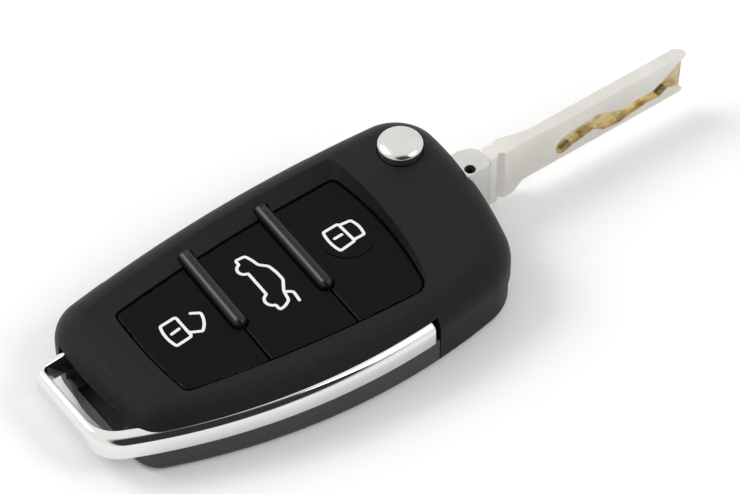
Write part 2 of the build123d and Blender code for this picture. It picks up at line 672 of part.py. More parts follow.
# The battery cover, which pulls off downwards, with the ledge below the key-ring bow

with BuildPart() as battery_cover:
    with BuildSketch():
        add(lower_plan)
    extrude(amount=SEAM_Z - SEAM_GAP)
    fillet(battery_cover.faces().sort_by(Axis.Z)[0].edges(), radius=BACK_EDGE_RADIUS)
    with BuildSketch(Plane.XY.offset(LEDGE_TOP_Z)):
        with BuildLine():
            ledge_back_x = TAIL_CROWN[0] + BACK_EDGE_RADIUS
            far_end, near_end = (ledge_back_x, LEDGE_FAR_Y), (ledge_back_x, LEDGE_NEAR_Y)
            ThreePointArc(far_end, (LEDGE_TIP_X, (LEDGE_FAR_Y + LEDGE_NEAR_Y) / 2), near_end)
            Line(near_end, far_end)
        make_face()
    extrude(amount=-LEDGE_DEPTH, taper=LEDGE_TAPER)

    # the battery's side is hollow, but the shelf under the folded blade stays whole
    with BuildSketch(Plane.XY.offset(COVER_FLOOR)):
        add(lower_inner_plan)
        add(rectangle_plan((HOLLOW_BACK_X + PARTITION, -OUTSIDE), (OUTSIDE, OUTSIDE)), mode=Mode.INTERSECT)
        add(Pos(*PIVOT) * grown(blade_zone, PARTITION), mode=Mode.SUBTRACT)
    extrude(amount=SEAM_Z, mode=Mode.SUBTRACT)
    with BuildSketch(Plane.XY.offset(PARTITION_BOTTOM_Z - BOSS_GAP)):
        add(lower_inner_plan)
        add(rectangle_plan((HOLLOW_BACK_X + PARTITION, -OUTSIDE), (OUTSIDE, OUTSIDE)), mode=Mode.INTERSECT)
    extrude(amount=SEAM_Z, mode=Mode.SUBTRACT)
    for zone, floor_z, top_z in bay_zones:
        with BuildSketch(hub_plane.offset(floor_z)):
            add(zone)
        extrude(amount=top_z - floor_z, mode=Mode.SUBTRACT)

    # room for the bow, which dips below the seam at the tail
    with BuildSketch(bow_plane.offset(-BOW_CLEARANCE)):
        add(bow_rebate)
    extrude(amount=BOW_HEIGHT, mode=Mode.SUBTRACT)

    # the hollow at the tail, with its sunken floor behind the ledge
    with BuildSketch(Plane.XY.offset(LEDGE_TOP_Z)):
        add(rectangle_plan((-OUTSIDE, HOLLOW_NEAR_Y), (HOLLOW_BACK_X, HOLLOW_FAR_Y)))
    extrude(amount=SEAM_Z, mode=Mode.SUBTRACT)
    with BuildSketch(Plane.XY.offset(HOLLOW_FLOOR_Z)):
        inset = PARTITION + LOWER_WALL
        low = (LEDGE_INNER_X, HOLLOW_NEAR_Y + inset)
        add(rectangle_plan(low, (HOLLOW_BACK_X, HOLLOW_FAR_Y - inset)))
    extrude(amount=SEAM_Z, mode=Mode.SUBTRACT)
    with BuildSketch():
        add(rectangle_plan((split_tail_x, -OUTSIDE), (OUTSIDE, OUTSIDE)))
    extrude(amount=SEAM_Z, mode=Mode.SUBTRACT)

finish(battery_cover.part, "battery_cover")


# The chromed key-ring bow, which leans with the blade's frame

with BuildPart() as key_ring_bow:
    with BuildSketch(bow_plane):
        add(bow)
    extrude(amount=BOW_HEIGHT)
    bow_top = key_ring_bow.faces().sort_by(Axis.Z)[-1].edges()
    arm_ends = (BOW_ARM_END_X, BOW_SHORT_ARM_END[0])
    sides = [edge for edge in bow_top if min(abs(edge.center().X - x) for x in arm_ends) > BOW_EDGE_RADIUS]
    fillet(sides, radius=BOW_EDGE_RADIUS)

finish(key_ring_bow.part, "key_ring_bow")


# The keypad: a frame with two half-round ridges, three caps, and the mat below them

with BuildPart() as keypad_frame:
    with BuildSketch(Plane.XY.offset(frame_bottom_z)):
        add(frame_outline.sketch)
    extrude(amount=FRAME_THICKNESS)
    for line, ends in ridges:
        with BuildSketch(Plane.XY.offset(CEILING_Z)):
            add(strip_plan(line, ends, RIDGE_WIDTH, 0))
        extrude(amount=ridge_top_z - CEILING_Z)
    ridge_tops = keypad_frame.faces().filter_by(Plane.XY).sort_by(Axis.Z)[-2:]
    fillet([edge for face in ridge_tops for edge in face.edges()], radius=RIDGE_EDGE_RADIUS)
    with BuildSketch(Plane.XY.offset(frame_bottom_z)):
        add(round_places(post_places, POST_RADIUS + POST_HOLE_GAP))
    extrude(amount=FRAME_THICKNESS, mode=Mode.SUBTRACT)

finish(keypad_frame.part, "keypad_frame")

half_split = BUTTON_SPLIT_GAP / 2
beyond_tail = ((-OUTSIDE, OUTSIDE), (-OUTSIDE, -OUTSIDE))
beyond_blade = ((OUTSIDE, OUTSIDE), (OUTSIDE, -OUTSIDE))
caps = (
    ("unlock_button", UNLOCK_POST, beyond_tail, SPLIT_TAIL_SIDE),
    ("boot_button", BOOT_POST, SPLIT_TAIL_SIDE, SPLIT_BLADE_SIDE),
    ("lock_button", LOCK_POST, SPLIT_BLADE_SIDE, beyond_blade),
)
for name, post, tail_line, blade_line in caps:
    tail_side = [(x + half_split, y) for x, y in tail_line]
    blade_side = [(x - half_split, y) for x, y in blade_line]
    with BuildPart() as cap:
        with BuildSketch(Plane.XY.offset(cap_bottom_z)):
            add(panel_plan)
            add(polygon_plan(*tail_side, *reversed(blade_side)), mode=Mode.INTERSECT)
            for line, ends in ridges:
                add(strip_plan(line, ends, RIDGE_WIDTH, RIDGE_SLOT_GAP), mode=Mode.SUBTRACT)
        extrude(amount=BUTTON_THICKNESS)
        fillet(cap.faces().sort_by(Axis.Z)[-1].edges(), radius=BUTTON_EDGE_RADIUS)
        if name == "lock_button":
            with BuildSketch(Plane.XY.offset(PANEL_TOP_Z)):
                with Locations(DISC_CENTRE):
                    Circle(DISC_RADIUS)
            extrude(amount=DISC_RISE)
        with BuildSketch(Plane.XY.offset(plunger_top_z + SEAL_GAP)):
            with Locations(post):
                Circle(POST_RADIUS)
        extrude(amount=cap_bottom_z - plunger_top_z - SEAL_GAP)
    finish(cap.part, name)

seal_top_z = frame_bottom_z - SEAL_GAP
seal_plan = grown(board_outline.sketch, -SEAL_INSET)
with BuildPart() as rubber_seal:
    with BuildSketch(Plane.XY.offset(board_top_z)):
        add(seal_plan)
    extrude(amount=seal_top_z - board_top_z)
    with BuildSketch(Plane.XY.offset(board_top_z)):
        add(grown(board_outline.sketch, -SEAL_INSET - SEAL_THICKNESS))
    extrude(amount=seal_top_z - board_top_z - SEAL_THICKNESS, mode=Mode.SUBTRACT)
    with BuildSketch(Plane.XY.offset(board_top_z)):
        add(round_places(post_places, POST_RADIUS + POST_HOLE_GAP))
    extrude(amount=seal_top_z - board_top_z, mode=Mode.SUBTRACT)

finish(rubber_seal.part, "rubber_seal")


# The circuit board and what is soldered to it

with BuildPart() as circuit_board:
    with BuildSketch(Plane.XY.offset(BOARD_BOTTOM_Z)):
        add(board_outline.sketch)
        add(boss_holes, mode=Mode.SUBTRACT)
    extrude(amount=BOARD_THICKNESS)

finish(circuit_board.part, "circuit_board")

for name, place in (("unlock", UNLOCK_POST), ("boot", BOOT_POST), ("lock", LOCK_POST)):
    with BuildPart() as switch:
        with BuildSketch(Plane.XY.offset(board_top_z)):
            with Locations(place):
                RectangleRounded(SWITCH_SIDE, SWITCH_SIDE, SWITCH_HEIGHT / 4)
        extrude(amount=SWITCH_HEIGHT)
        with BuildSketch(Plane.XY.offset(switch_top_z)):
            with Locations(place):
                Circle(PLUNGER_RADIUS + PLUNGER_FIT)
        extrude(amount=-PLUNGER_DEPTH - BUTTON_TRAVEL - PLUNGER_FIT, mode=Mode.SUBTRACT)
    finish(switch.part, f"{name}_switch")
    with BuildPart() as plunger:
        with BuildSketch(Plane.XY.offset(switch_top_z - PLUNGER_DEPTH)):
            with Locations(place):
                Circle(PLUNGER_RADIUS)
        extrude(amount=PLUNGER_DEPTH + PLUNGER_RISE)
        fillet(plunger.faces().sort_by(Axis.Z)[-1].edges(), radius=PLUNGER_RISE / 2)
    finish(plunger.part, f"{name}_plunger")

first_x, row_y = CAPACITOR_PLACE
board_parts = (
    ("rf_chip", [CHIP_PLACE], CHIP_SIZE),
    ("quartz_crystal", [CRYSTAL_PLACE], CRYSTAL_SIZE),
    ("transponder_coil", [COIL_PLACE], COIL_SIZE),
    ("capacitors", [(first_x + i * CAPACITOR_STEP, row_y) for i in range(CAPACITOR_COUNT)], CAPACITOR_SIZE),
)
for name, places, (length, width, height) in board_parts:
    with BuildPart() as chip:
        with BuildSketch(Plane.XY.offset(board_top_z)):
            with Locations(*places):
                Rectangle(length, width)
        extrude(amount=height)
        chamfer(chip.edges().group_by(Axis.Z)[-1], length=height / 6)
    finish(chip.part, name)


# The coin cell in its tray, and the two springy contacts

cell_bottom_z = COVER_FLOOR + CELL_GAP
cell_top_z = cell_bottom_z + CELL_HEIGHT
with BuildPart() as coin_cell:
    with BuildSketch(Plane.XY.offset(cell_bottom_z)):
        with Locations(CELL_CENTRE):
            Circle(CELL_RADIUS)
    extrude(amount=CELL_HEIGHT - CELL_STEP)
    fillet(coin_cell.edges(), radius=CELL_STEP)
    with BuildSketch(Plane.XY.offset(cell_top_z - CELL_STEP)):
        with Locations(CELL_CENTRE):
            Circle(CELL_RADIUS - 3 * CELL_STEP)
    extrude(amount=CELL_STEP)

finish(coin_cell.part, "coin_cell")

ring_inner_radius = CELL_RADIUS + CELL_SIDE_GAP
ring_outer_radius = ring_inner_radius + TRAY_RING_WALL
tray_end = (TRAY_BLADE_X, TRAY_FAR_Y)
contact_x = CELL_CENTRE[0] + ring_inner_radius + TRAY_RING_WALL / 2
with BuildPart() as battery_tray:
    with BuildSketch(Plane.XY.offset(TRAY_BOTTOM_Z)):
        add(tray_room_plan)
        add(rectangle_plan((HOLLOW_BACK_X + PARTITION + WELL_GAP, -OUTSIDE), tray_end), mode=Mode.INTERSECT)
        add(Pos(*PIVOT) * grown(bay_plan, PARTITION + WELL_GAP), mode=Mode.SUBTRACT)
        add(boss_holes, mode=Mode.SUBTRACT)
        add(grown(bow_rebate, WELL_GAP), mode=Mode.SUBTRACT)
    extrude(amount=TRAY_THICKNESS)
    with BuildSketch(Plane.XY.offset(TRAY_BOTTOM_Z)):
        with Locations(CELL_CENTRE):
            Circle(ring_outer_radius)
            Circle(ring_inner_radius, mode=Mode.SUBTRACT)
    extrude(amount=-TRAY_RING_DEPTH)
    with BuildSketch(Plane.XY.offset(TRAY_BOTTOM_Z)):
        with Locations(*STANDOFF_PLACES):
            Circle(STANDOFF_RADIUS)
    extrude(amount=BOARD_BOTTOM_Z - TRAY_BOTTOM_Z)

    # the slots that the two contacts stand in
    with BuildSketch(Plane.XY.offset(TRAY_BOTTOM_Z - TRAY_RING_DEPTH)):
        with Locations((contact_x, CELL_CENTRE[1])):
            Rectangle(2 * TRAY_RING_WALL, CONTACT_WIDTH + 2 * CONTACT_GAP)
    extrude(amount=TRAY_RING_DEPTH + TRAY_THICKNESS, mode=Mode.SUBTRACT)
    with BuildSketch(Plane.XY.offset(TRAY_BOTTOM_Z)):
        with Locations(CELL_CENTRE):
            Rectangle(2 * CONTACT_GAP + CONTACT_THICKNESS, CONTACT_WIDTH + 2 * CONTACT_GAP)
    extrude(amount=TRAY_THICKNESS, mode=Mode.SUBTRACT)

finish(battery_tray.part, "battery_tray")

with BuildPart() as battery_contact_positive:
    side_x = CELL_CENTRE[0] + CELL_RADIUS + CONTACT_GAP + CONTACT_THICKNESS / 2
    with BuildSketch(Plane.XY.offset(cell_bottom_z + CELL_STEP)):
        with Locations((side_x, CELL_CENTRE[1])):
            Rectangle(CONTACT_THICKNESS, CONTACT_WIDTH)
    extrude(amount=BOARD_BOTTOM_Z - cell_bottom_z - CELL_STEP)

finish(battery_contact_positive.part, "battery_contact_positive")

with BuildPart() as battery_contact_negative:
    with BuildSketch(Plane.XY.offset(cell_top_z + CONTACT_GAP / 2)):
        with Locations(CELL_CENTRE):
            Rectangle(CONTACT_LENGTH, CONTACT_WIDTH)
    extrude(amount=CONTACT_THICKNESS)
    with BuildSketch(Plane.XY.offset(cell_top_z + CONTACT_GAP / 2)):
        with Locations(CELL_CENTRE):
            Rectangle(CONTACT_THICKNESS, CONTACT_WIDTH)
    extrude(amount=BOARD_BOTTOM_Z - cell_top_z - CONTACT_GAP / 2)

finish(battery_contact_negative.part, "battery_contact_negative")

with BuildPart() as transponder_capsule:
    with BuildSketch(Plane.XY.offset(HEAD_FLOOR)):
        with Locations(CAPSULE_PLACE):
            Rectangle(*CAPSULE_SIZE[:2])
    extrude(amount=CAPSULE_SIZE[2])
    chamfer(transponder_capsule.faces().sort_by(Axis.Z)[-1].edges(), length=CAPSULE_RIB / 2)

finish(transponder_capsule.part, "transponder_capsule")

with BuildPart() as case_screws:
    with BuildSketch(Plane.XY.offset(TONGUE_BOTTOM_Z + SCREW_FIT)):
        add(round_places(SCREW_PLACES, SCREW_HEAD_RADIUS))
    extrude(amount=SCREW_HEAD_HEIGHT - SCREW_FIT)
    with BuildSketch(Plane.XY.offset(TONGUE_BOTTOM_Z + SCREW_HEAD_HEIGHT)):
        add(round_places(SCREW_PLACES, SCREW_RADIUS))
    extrude(amount=SCREW_TOP_Z - TONGUE_BOTTOM_Z - SCREW_HEAD_HEIGHT)
    for place in SCREW_PLACES:
        with BuildSketch(Plane.XY.offset(TONGUE_BOTTOM_Z)):
            with Locations(place):
                Rectangle(2 * SCREW_RADIUS, SCREW_RADIUS / 2)
                Rectangle(SCREW_RADIUS / 2, 2 * SCREW_RADIUS)
        extrude(amount=SCREW_HEAD_HEIGHT / 2, mode=Mode.SUBTRACT)

finish(case_screws.part, "case_screws")


# The carrier: a hub that turns on the post, and a nose that holds the blade's tang

hub_seat_z = PIVOT_POST_TOP_Z + HUB_SEAT_GAP
stem_bottom_z = hub_seat_z + RELEASE_TRAVEL + RELEASE_STEM_GAP
with BuildPart() as blade_carrier:
    with BuildSketch(hub_plane.offset(HUB_BOTTOM_Z)):
        Circle(HUB_RADIUS)
        add(nose_plan)
    extrude(amount=HUB_TOP_Z - HUB_BOTTOM_Z)
    with BuildSketch(hub_plane.offset(HUB_TOP_Z)):
        Circle(HUB_COLLAR_RADIUS)
    extrude(amount=HUB_COLLAR_RISE)
    with BuildSketch(hub_plane.offset(hub_seat_z)):
        Circle(HUB_BORE_RADIUS)
    extrude(amount=HUB_TOP_Z, mode=Mode.SUBTRACT)
    with BuildSketch(hub_plane):
        Circle(PIVOT_POST_RADIUS + RUNNING_FIT)
    extrude(amount=hub_seat_z, mode=Mode.SUBTRACT)
    with BuildSketch(hub_plane.offset(TANG_BOTTOM_Z - TANG_FIT)):
        low = (TANG_BACK_X - TANG_FIT, TANG_NEAR_Y - TANG_FIT)
        add(rectangle_plan(*about_pivot(low, (OUTSIDE, TANG_FAR_Y + TANG_FIT))))
    extrude(amount=TANG_TOP_Z - TANG_BOTTOM_Z + 2 * TANG_FIT, mode=Mode.SUBTRACT)
    with BuildSketch(hub_plane.offset(PIN_BOTTOM_Z)):
        add(round_places(about_pivot(PIN_CENTRE), PIN_RADIUS + TANG_FIT))
    extrude(amount=HUB_TOP_Z, mode=Mode.SUBTRACT)

finish(blade_carrier.part, "blade_carrier")

with BuildPart() as roll_pin:
    with BuildSketch(hub_plane.offset(PIN_BOTTOM_Z)):
        with Locations(*about_pivot(PIN_CENTRE)):
            Circle(PIN_RADIUS)
            Circle(PIN_RADIUS - PIN_WALL, mode=Mode.SUBTRACT)
            with Locations((0, PIN_RADIUS)):
                Rectangle(PIN_SLIT, 2 * PIN_RADIUS, mode=Mode.SUBTRACT)
    extrude(amount=HUB_TOP_Z - PIN_RECESS - PIN_BOTTOM_Z)

finish(roll_pin.part, "roll_pin")


# The blade: its plan and its side view, crossed, with a track milled into its near face

with BuildPart() as key_blade:
    with BuildSketch(hub_plane.offset(root_bottom_z)):
        add(polygon_plan(*about_pivot(
            (NOSE_TIP_X, BLADE_NEAR_Y + NOSE_BEVEL[1] / 8),
            (groove_x - GROOVE_HALF_WIDTH, BLADE_NEAR_Y),
            (groove_x, BLADE_NEAR_Y + GROOVE_DEPTH),
            (groove_x + GROOVE_HALF_WIDTH, BLADE_NEAR_Y),
            (BLADE_TIP_X + BLADE_TIP_RAKE, BLADE_NEAR_Y),
            (BLADE_TIP_X + BLADE_TIP_RAKE, blade_far_y - BLADE_TIP_BEVEL[1]),
            (BLADE_TIP_X + BLADE_TIP_RAKE - BLADE_TIP_BEVEL[0], blade_far_y),
            (blade_full_x, blade_far_y),
            (blade_start_x, (blade_far_y + TANG_FAR_Y) / 2),
            (root_end_x, SHOULDER_FAR_Y),
            (groove_x + GROOVE_HALF_WIDTH, SHOULDER_FAR_Y),
            (groove_x, NECK_NOTCH_FAR_Y),
            (groove_x - GROOVE_HALF_WIDTH, NECK_FAR_Y),
            (NOSE_TIP_X, NECK_FAR_Y),
        )))
    extrude(amount=ROOT_HEIGHT)
    with BuildSketch(hub_section):
        root_side, tip = [x - PIVOT[0] for x in (NOSE_TIP_X, BLADE_TIP_X)]
        curve_start, curve_end = root_end_x - PIVOT[0], blade_start_x - PIVOT[0]
        with BuildLine():
            Spline(
                (curve_start, root_bottom_z), (curve_end, blade_bottom_z),
                tangents=((1, 0), (1, 0)),
            )
            Polyline(
                (curve_end, blade_bottom_z),
                (tip - BLADE_TIP_CHAMFER, blade_bottom_z),
                (tip, blade_bottom_z + BLADE_TIP_CHAMFER),
                (tip + BLADE_TIP_RAKE, BLADE_TOP_Z),
                (root_side, BLADE_TOP_Z),
                (root_side, root_bottom_z),
                (curve_start, root_bottom_z),
            )
        make_face()
    extrude(amount=OUTSIDE, both=True, mode=Mode.INTERSECT)
    with BuildSketch(hub_plane.offset(TANG_BOTTOM_Z)):
        tang_end = (NOSE_TIP_X + NOSE_BEVEL[1], TANG_FAR_Y)
        add(rectangle_plan(*about_pivot((TANG_BACK_X, TANG_NEAR_Y), tang_end)))
    extrude(amount=TANG_TOP_Z - TANG_BOTTOM_Z)
    with BuildSketch(hub_plane):
        add(round_places(about_pivot(PIN_CENTRE), PIN_RADIUS + TANG_FIT))
    extrude(amount=HUB_TOP_Z, mode=Mode.SUBTRACT)
    near_y = BLADE_NEAR_Y - PIVOT[1]
    land_start = hub_plane.origin + (BLADE_LAND_X - PIVOT[0]) * hub_plane.x_dir
    with BuildSketch(Plane(origin=land_start, x_dir=hub_plane.y_dir, z_dir=hub_plane.x_dir)):
        add(polygon_plan(
            (near_y, BLADE_TOP_Z - BLADE_LAND_DROP),
            (near_y + BLADE_LAND_WIDTH, BLADE_TOP_Z),
            (near_y, BLADE_TOP_Z),
        ))
    extrude(amount=OUTSIDE, mode=Mode.SUBTRACT)
    track_points = [(x - PIVOT[0], z) for x, z in TRACK_UPPER_EDGE + TRACK_LOWER_EDGE]
    near_face = Plane(
        origin=hub_plane.origin + near_y * hub_plane.y_dir,
        x_dir=hub_plane.x_dir,
        z_dir=hub_section.z_dir,
    )
    with BuildSketch(near_face):
        with BuildLine():
            FilletPolyline(*track_points, radius=TRACK_CORNER_RADIUS, close=True)
        make_face()
    extrude(amount=-TRACK_DEPTH, mode=Mode.SUBTRACT)

finish(key_blade.part, "key_blade")


# The release button in the hub's bore, and the spring coiled round its stem

with BuildPart() as release_button:
    with BuildSketch(hub_section):
        with BuildLine():
            rim = (RELEASE_RADIUS - RELEASE_EDGE_RADIUS, RELEASE_TOP_Z - RELEASE_DOME)
            crown = (rim[0] / 2, RELEASE_TOP_Z - RELEASE_DOME / 4)
            ThreePointArc((0, RELEASE_TOP_Z), crown, rim)
            Polyline(
                rim,
                (RELEASE_RADIUS, rim[1] - RELEASE_EDGE_RADIUS),
                (RELEASE_RADIUS, RELEASE_SKIRT_BOTTOM_Z),
                (RELEASE_STEM_RADIUS, RELEASE_SKIRT_BOTTOM_Z),
                (RELEASE_STEM_RADIUS, stem_bottom_z),
                (0, stem_bottom_z),
                (0, RELEASE_TOP_Z),
            )
        make_face()
    revolve(axis=hub_axis)

finish(release_button.part, "release_button")

spring_low = hub_seat_z + SPRING_SEAT_GAP + SPRING_WIRE_RADIUS
spring_high = RELEASE_SKIRT_BOTTOM_Z - SPRING_SEAT_GAP - SPRING_WIRE_RADIUS
spring_rise = spring_high - spring_low
spring_path = hub_plane.offset(spring_low) * Helix(spring_rise / SPRING_TURNS, spring_rise, SPRING_RADIUS)
with BuildPart() as flip_spring:
    with BuildSketch(Plane(origin=spring_path @ 0, z_dir=spring_path % 0)):
        Circle(SPRING_WIRE_RADIUS)
    sweep(path=spring_path, is_frenet=True)

finish(flip_spring.part, "flip_spring")
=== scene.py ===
"""Looks for the folding car key: materials, finer surfaces, printed symbols, light and camera."""

from math import acos, atan2, cos, hypot, pi, radians, sin, sqrt, tan

import bmesh
import bpy
from mathutils import Matrix, Vector


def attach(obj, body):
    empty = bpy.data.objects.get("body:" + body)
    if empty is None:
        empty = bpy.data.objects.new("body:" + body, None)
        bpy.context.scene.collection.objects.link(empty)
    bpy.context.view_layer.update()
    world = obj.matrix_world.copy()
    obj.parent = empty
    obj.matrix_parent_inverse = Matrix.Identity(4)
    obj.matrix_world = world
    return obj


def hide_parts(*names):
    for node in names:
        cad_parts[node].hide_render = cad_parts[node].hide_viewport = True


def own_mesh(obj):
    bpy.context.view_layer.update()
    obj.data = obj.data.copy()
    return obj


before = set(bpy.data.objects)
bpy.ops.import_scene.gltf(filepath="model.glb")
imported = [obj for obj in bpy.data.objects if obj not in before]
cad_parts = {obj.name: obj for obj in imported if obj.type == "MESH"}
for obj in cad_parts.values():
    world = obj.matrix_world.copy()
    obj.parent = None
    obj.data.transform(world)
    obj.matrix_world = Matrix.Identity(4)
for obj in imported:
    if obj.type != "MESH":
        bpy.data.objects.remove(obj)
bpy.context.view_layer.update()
scene = bpy.context.scene
MM = 0.001


# Node trees

def new_material(name):
    """A new material, with its node tree and its shader."""
    material = bpy.data.materials.new(name)
    material.use_nodes = True
    return material, material.node_tree, material.node_tree.nodes["Principled BSDF"]


def node(tree, kind, **values):
    """A node of a kind, with its properties, or its sockets by number, set."""
    made = tree.nodes.new(kind)
    for key, value in values.items():
        if key.startswith("in"):
            made.inputs[int(key[2:])].default_value = value
        else:
            setattr(made, key, value)
    return made


def object_coordinates(tree, scale=(1, 1, 1), turn=(0, 0, 0)):
    """The object's own coordinates in millimetres, stretched and turned."""
    source = node(tree, "ShaderNodeTexCoord")
    mapping = node(tree, "ShaderNodeMapping")
    mapping.inputs["Scale"].default_value = [s / MM for s in scale]
    mapping.inputs["Rotation"].default_value = turn
    tree.links.new(source.outputs["Object"], mapping.inputs["Vector"])
    return mapping.outputs["Vector"]


def noise(tree, vector, scale, detail=3.0, roughness=0.55):
    """A noise texture's value."""
    made = node(tree, "ShaderNodeTexNoise")
    made.inputs["Scale"].default_value = scale
    made.inputs["Detail"].default_value = detail
    made.inputs["Roughness"].default_value = roughness
    tree.links.new(vector, made.inputs["Vector"])
    return made.outputs["Fac"]


def voronoi(tree, vector, scale, feature="F1"):
    """A cell texture's distance."""
    made = node(tree, "ShaderNodeTexVoronoi", feature=feature)
    made.inputs["Scale"].default_value = scale
    tree.links.new(vector, made.inputs["Vector"])
    return made.outputs["Distance"]


def span(tree, value, low, high, to_low, to_high):
    """A value mapped from one range to another."""
    made = node(tree, "ShaderNodeMapRange", in1=low, in2=high, in3=to_low, in4=to_high)
    tree.links.new(value, made.inputs[0])
    return made.outputs[0]


def calc(tree, operation, a, b):
    """A sum, product or the like of two values or numbers."""
    made = node(tree, "ShaderNodeMath", operation=operation)
    for socket, value in zip(made.inputs, (a, b)):
        if isinstance(value, (int, float)):
            socket.default_value = value
        else:
            tree.links.new(value, socket)
    return made.outputs[0]


def colours(tree, value, stops):
    """A colour ramp through stops of (place, colour)."""
    ramp = node(tree, "ShaderNodeValToRGB")
    elements = ramp.color_ramp.elements
    while len(elements) < len(stops):
        elements.new(0.5)
    for element, (place, colour) in zip(elements, stops):
        element.position = place
        element.color = (*colour, 1)
    tree.links.new(value, ramp.inputs[0])
    return ramp.outputs[0]


def bump(tree, height, strength, distance, below=None):
    """A bump of a height texture, laid over another bump if one is given."""
    made = node(tree, "ShaderNodeBump")
    made.inputs["Strength"].default_value = strength
    made.inputs["Distance"].default_value = distance * MM
    tree.links.new(height, made.inputs["Height"])
    if below is not None:
        tree.links.new(below, made.inputs["Normal"])
    return made.outputs["Normal"]


def plastic(name, dark, light, rough, grain_mm, grain_depth, strength, speckle=0.0, specular=0.5, coat=0.0):
    """Moulded plastic: a grain of pits, a faint mottle in colour and sheen, and fine specks."""
    material, tree, shader = new_material(name)
    place = object_coordinates(tree)
    grain = noise(tree, place, 1 / grain_mm, 2.5, 0.6)
    pits = voronoi(tree, place, 0.8 / grain_mm)
    broad = noise(tree, place, 0.09, 2.0)
    mottle = calc(tree, "ADD", calc(tree, "MULTIPLY", grain, 0.6), calc(tree, "MULTIPLY", broad, 0.4))
    tint = colours(tree, mottle, ((0.3, dark), (0.72, light)))
    tree.links.new(tint, shader.inputs["Base Color"])
    sheen = calc(tree, "ADD", calc(tree, "MULTIPLY", grain, 0.7), calc(tree, "MULTIPLY", broad, 0.3))
    tree.links.new(span(tree, sheen, 0.25, 0.75, rough[0], rough[1]), shader.inputs["Roughness"])
    height = calc(tree, "SUBTRACT", grain, calc(tree, "MULTIPLY", pits, speckle))
    tree.links.new(bump(tree, height, strength, grain_depth), shader.inputs["Normal"])
    shader.inputs["Specular IOR Level"].default_value = specular
    shader.inputs["Coat Weight"].default_value = coat
    shader.inputs["Coat Roughness"].default_value = 0.12
    return material


def metal(name, dark, light, rough, scratch=(1, 1, 1), strength=0.1, depth=0.01, scale=4.0, cloud=0.12):
    """Plated or bare metal: drawn or polished marks, faint clouds in the colour, varied roughness."""
    material, tree, shader = new_material(name)
    place = object_coordinates(tree, scratch)
    marks = noise(tree, place, scale, 4.0, 0.65)
    clouds = noise(tree, object_coordinates(tree), cloud, 3.0)
    tint = colours(tree, clouds, ((0.3, dark), (0.7, light)))
    tree.links.new(tint, shader.inputs["Base Color"])
    shader.inputs["Metallic"].default_value = 1.0
    blend = calc(tree, "ADD", calc(tree, "MULTIPLY", marks, 0.75), calc(tree, "MULTIPLY", clouds, 0.25))
    tree.links.new(span(tree, blend, 0.3, 0.7, rough[0], rough[1]), shader.inputs["Roughness"])
    tree.links.new(bump(tree, marks, strength, depth), shader.inputs["Normal"])
    return material


shell_black = plastic("shell_black", (0.0026, 0.0029, 0.0029), (0.0068, 0.0073, 0.0073), (0.36, 0.46),
                      0.15, 0.1, 1.0, speckle=0.6, specular=0.19)
shell_charcoal = plastic("shell_charcoal", (0.03, 0.0305, 0.0305), (0.05, 0.051, 0.051), (0.42, 0.54),
                         0.28, 0.12, 1.0, speckle=0.4, specular=0.3)
satin_black = plastic("satin_black", (0.0014, 0.0019, 0.0017), (0.0024, 0.0031, 0.0028), (0.3, 0.38),
                      0.09, 0.004, 0.2, speckle=0.2, specular=0.085)
gloss_black = plastic("gloss_black", (0.004, 0.0042, 0.0042), (0.0065, 0.0068, 0.0068), (0.24, 0.31),
                      0.25, 0.003, 0.12, specular=0.35)
inner_black = plastic("inner_black", (0.02, 0.02, 0.021), (0.034, 0.034, 0.036), (0.4, 0.55),
                      0.3, 0.02, 0.2)
part_black = plastic("part_black", (0.012, 0.012, 0.012), (0.022, 0.022, 0.023), (0.45, 0.6),
                     0.08, 0.01, 0.4, speckle=0.4)
silicone = plastic("silicone", (0.05, 0.05, 0.052), (0.085, 0.085, 0.088), (0.6, 0.72), 0.2, 0.01, 0.2)
stem_white = plastic("stem_white", (0.68, 0.68, 0.66), (0.78, 0.78, 0.76), (0.4, 0.5), 0.15, 0.004, 0.15)
ink_white = plastic("ink_white", (0.82, 0.82, 0.8), (0.9, 0.9, 0.885), (0.42, 0.55), 0.08, 0.006, 0.3)
chrome = metal("chrome", (0.8, 0.795, 0.785), (0.87, 0.865, 0.855), (0.035, 0.075), strength=0.03,
               depth=0.004, scale=2.5, cloud=0.05)
nickel = metal("nickel", (0.76, 0.74, 0.69), (0.84, 0.825, 0.775), (0.15, 0.25), (0.25, 1.5, 1.5),
               strength=0.12, depth=0.008, scale=5.0)
nickel_button = metal("nickel_button", (0.7, 0.69, 0.66), (0.79, 0.78, 0.75), (0.16, 0.24),
                      strength=0.05, depth=0.004, scale=6.0)
zinc = metal("zinc", (0.62, 0.61, 0.58), (0.72, 0.71, 0.68), (0.26, 0.4), strength=0.2, depth=0.01, scale=3.0)
spring_steel = metal("spring_steel", (0.42, 0.42, 0.43), (0.55, 0.55, 0.56), (0.22, 0.34), (0.3, 0.3, 3))
dark_steel = metal("dark_steel", (0.06, 0.06, 0.062), (0.12, 0.12, 0.122), (0.3, 0.45), scale=6.0)
pin_black = metal("pin_black", (0.012, 0.011, 0.01), (0.03, 0.027, 0.024), (0.35, 0.5), scale=6.0)
tin = metal("tin", (0.6, 0.6, 0.58), (0.7, 0.7, 0.68), (0.25, 0.4), scale=8.0, strength=0.15)
cell_steel = metal("cell_steel", (0.62, 0.62, 0.62), (0.72, 0.72, 0.72), (0.2, 0.34), (0.2, 2.5, 1),
                   strength=0.1, depth=0.006)
brass = metal("brass", (0.52, 0.42, 0.23), (0.82, 0.71, 0.46), (0.2, 0.4), (3, 1, 1), strength=0.5,
              depth=0.03, scale=3.0, cloud=0.6)


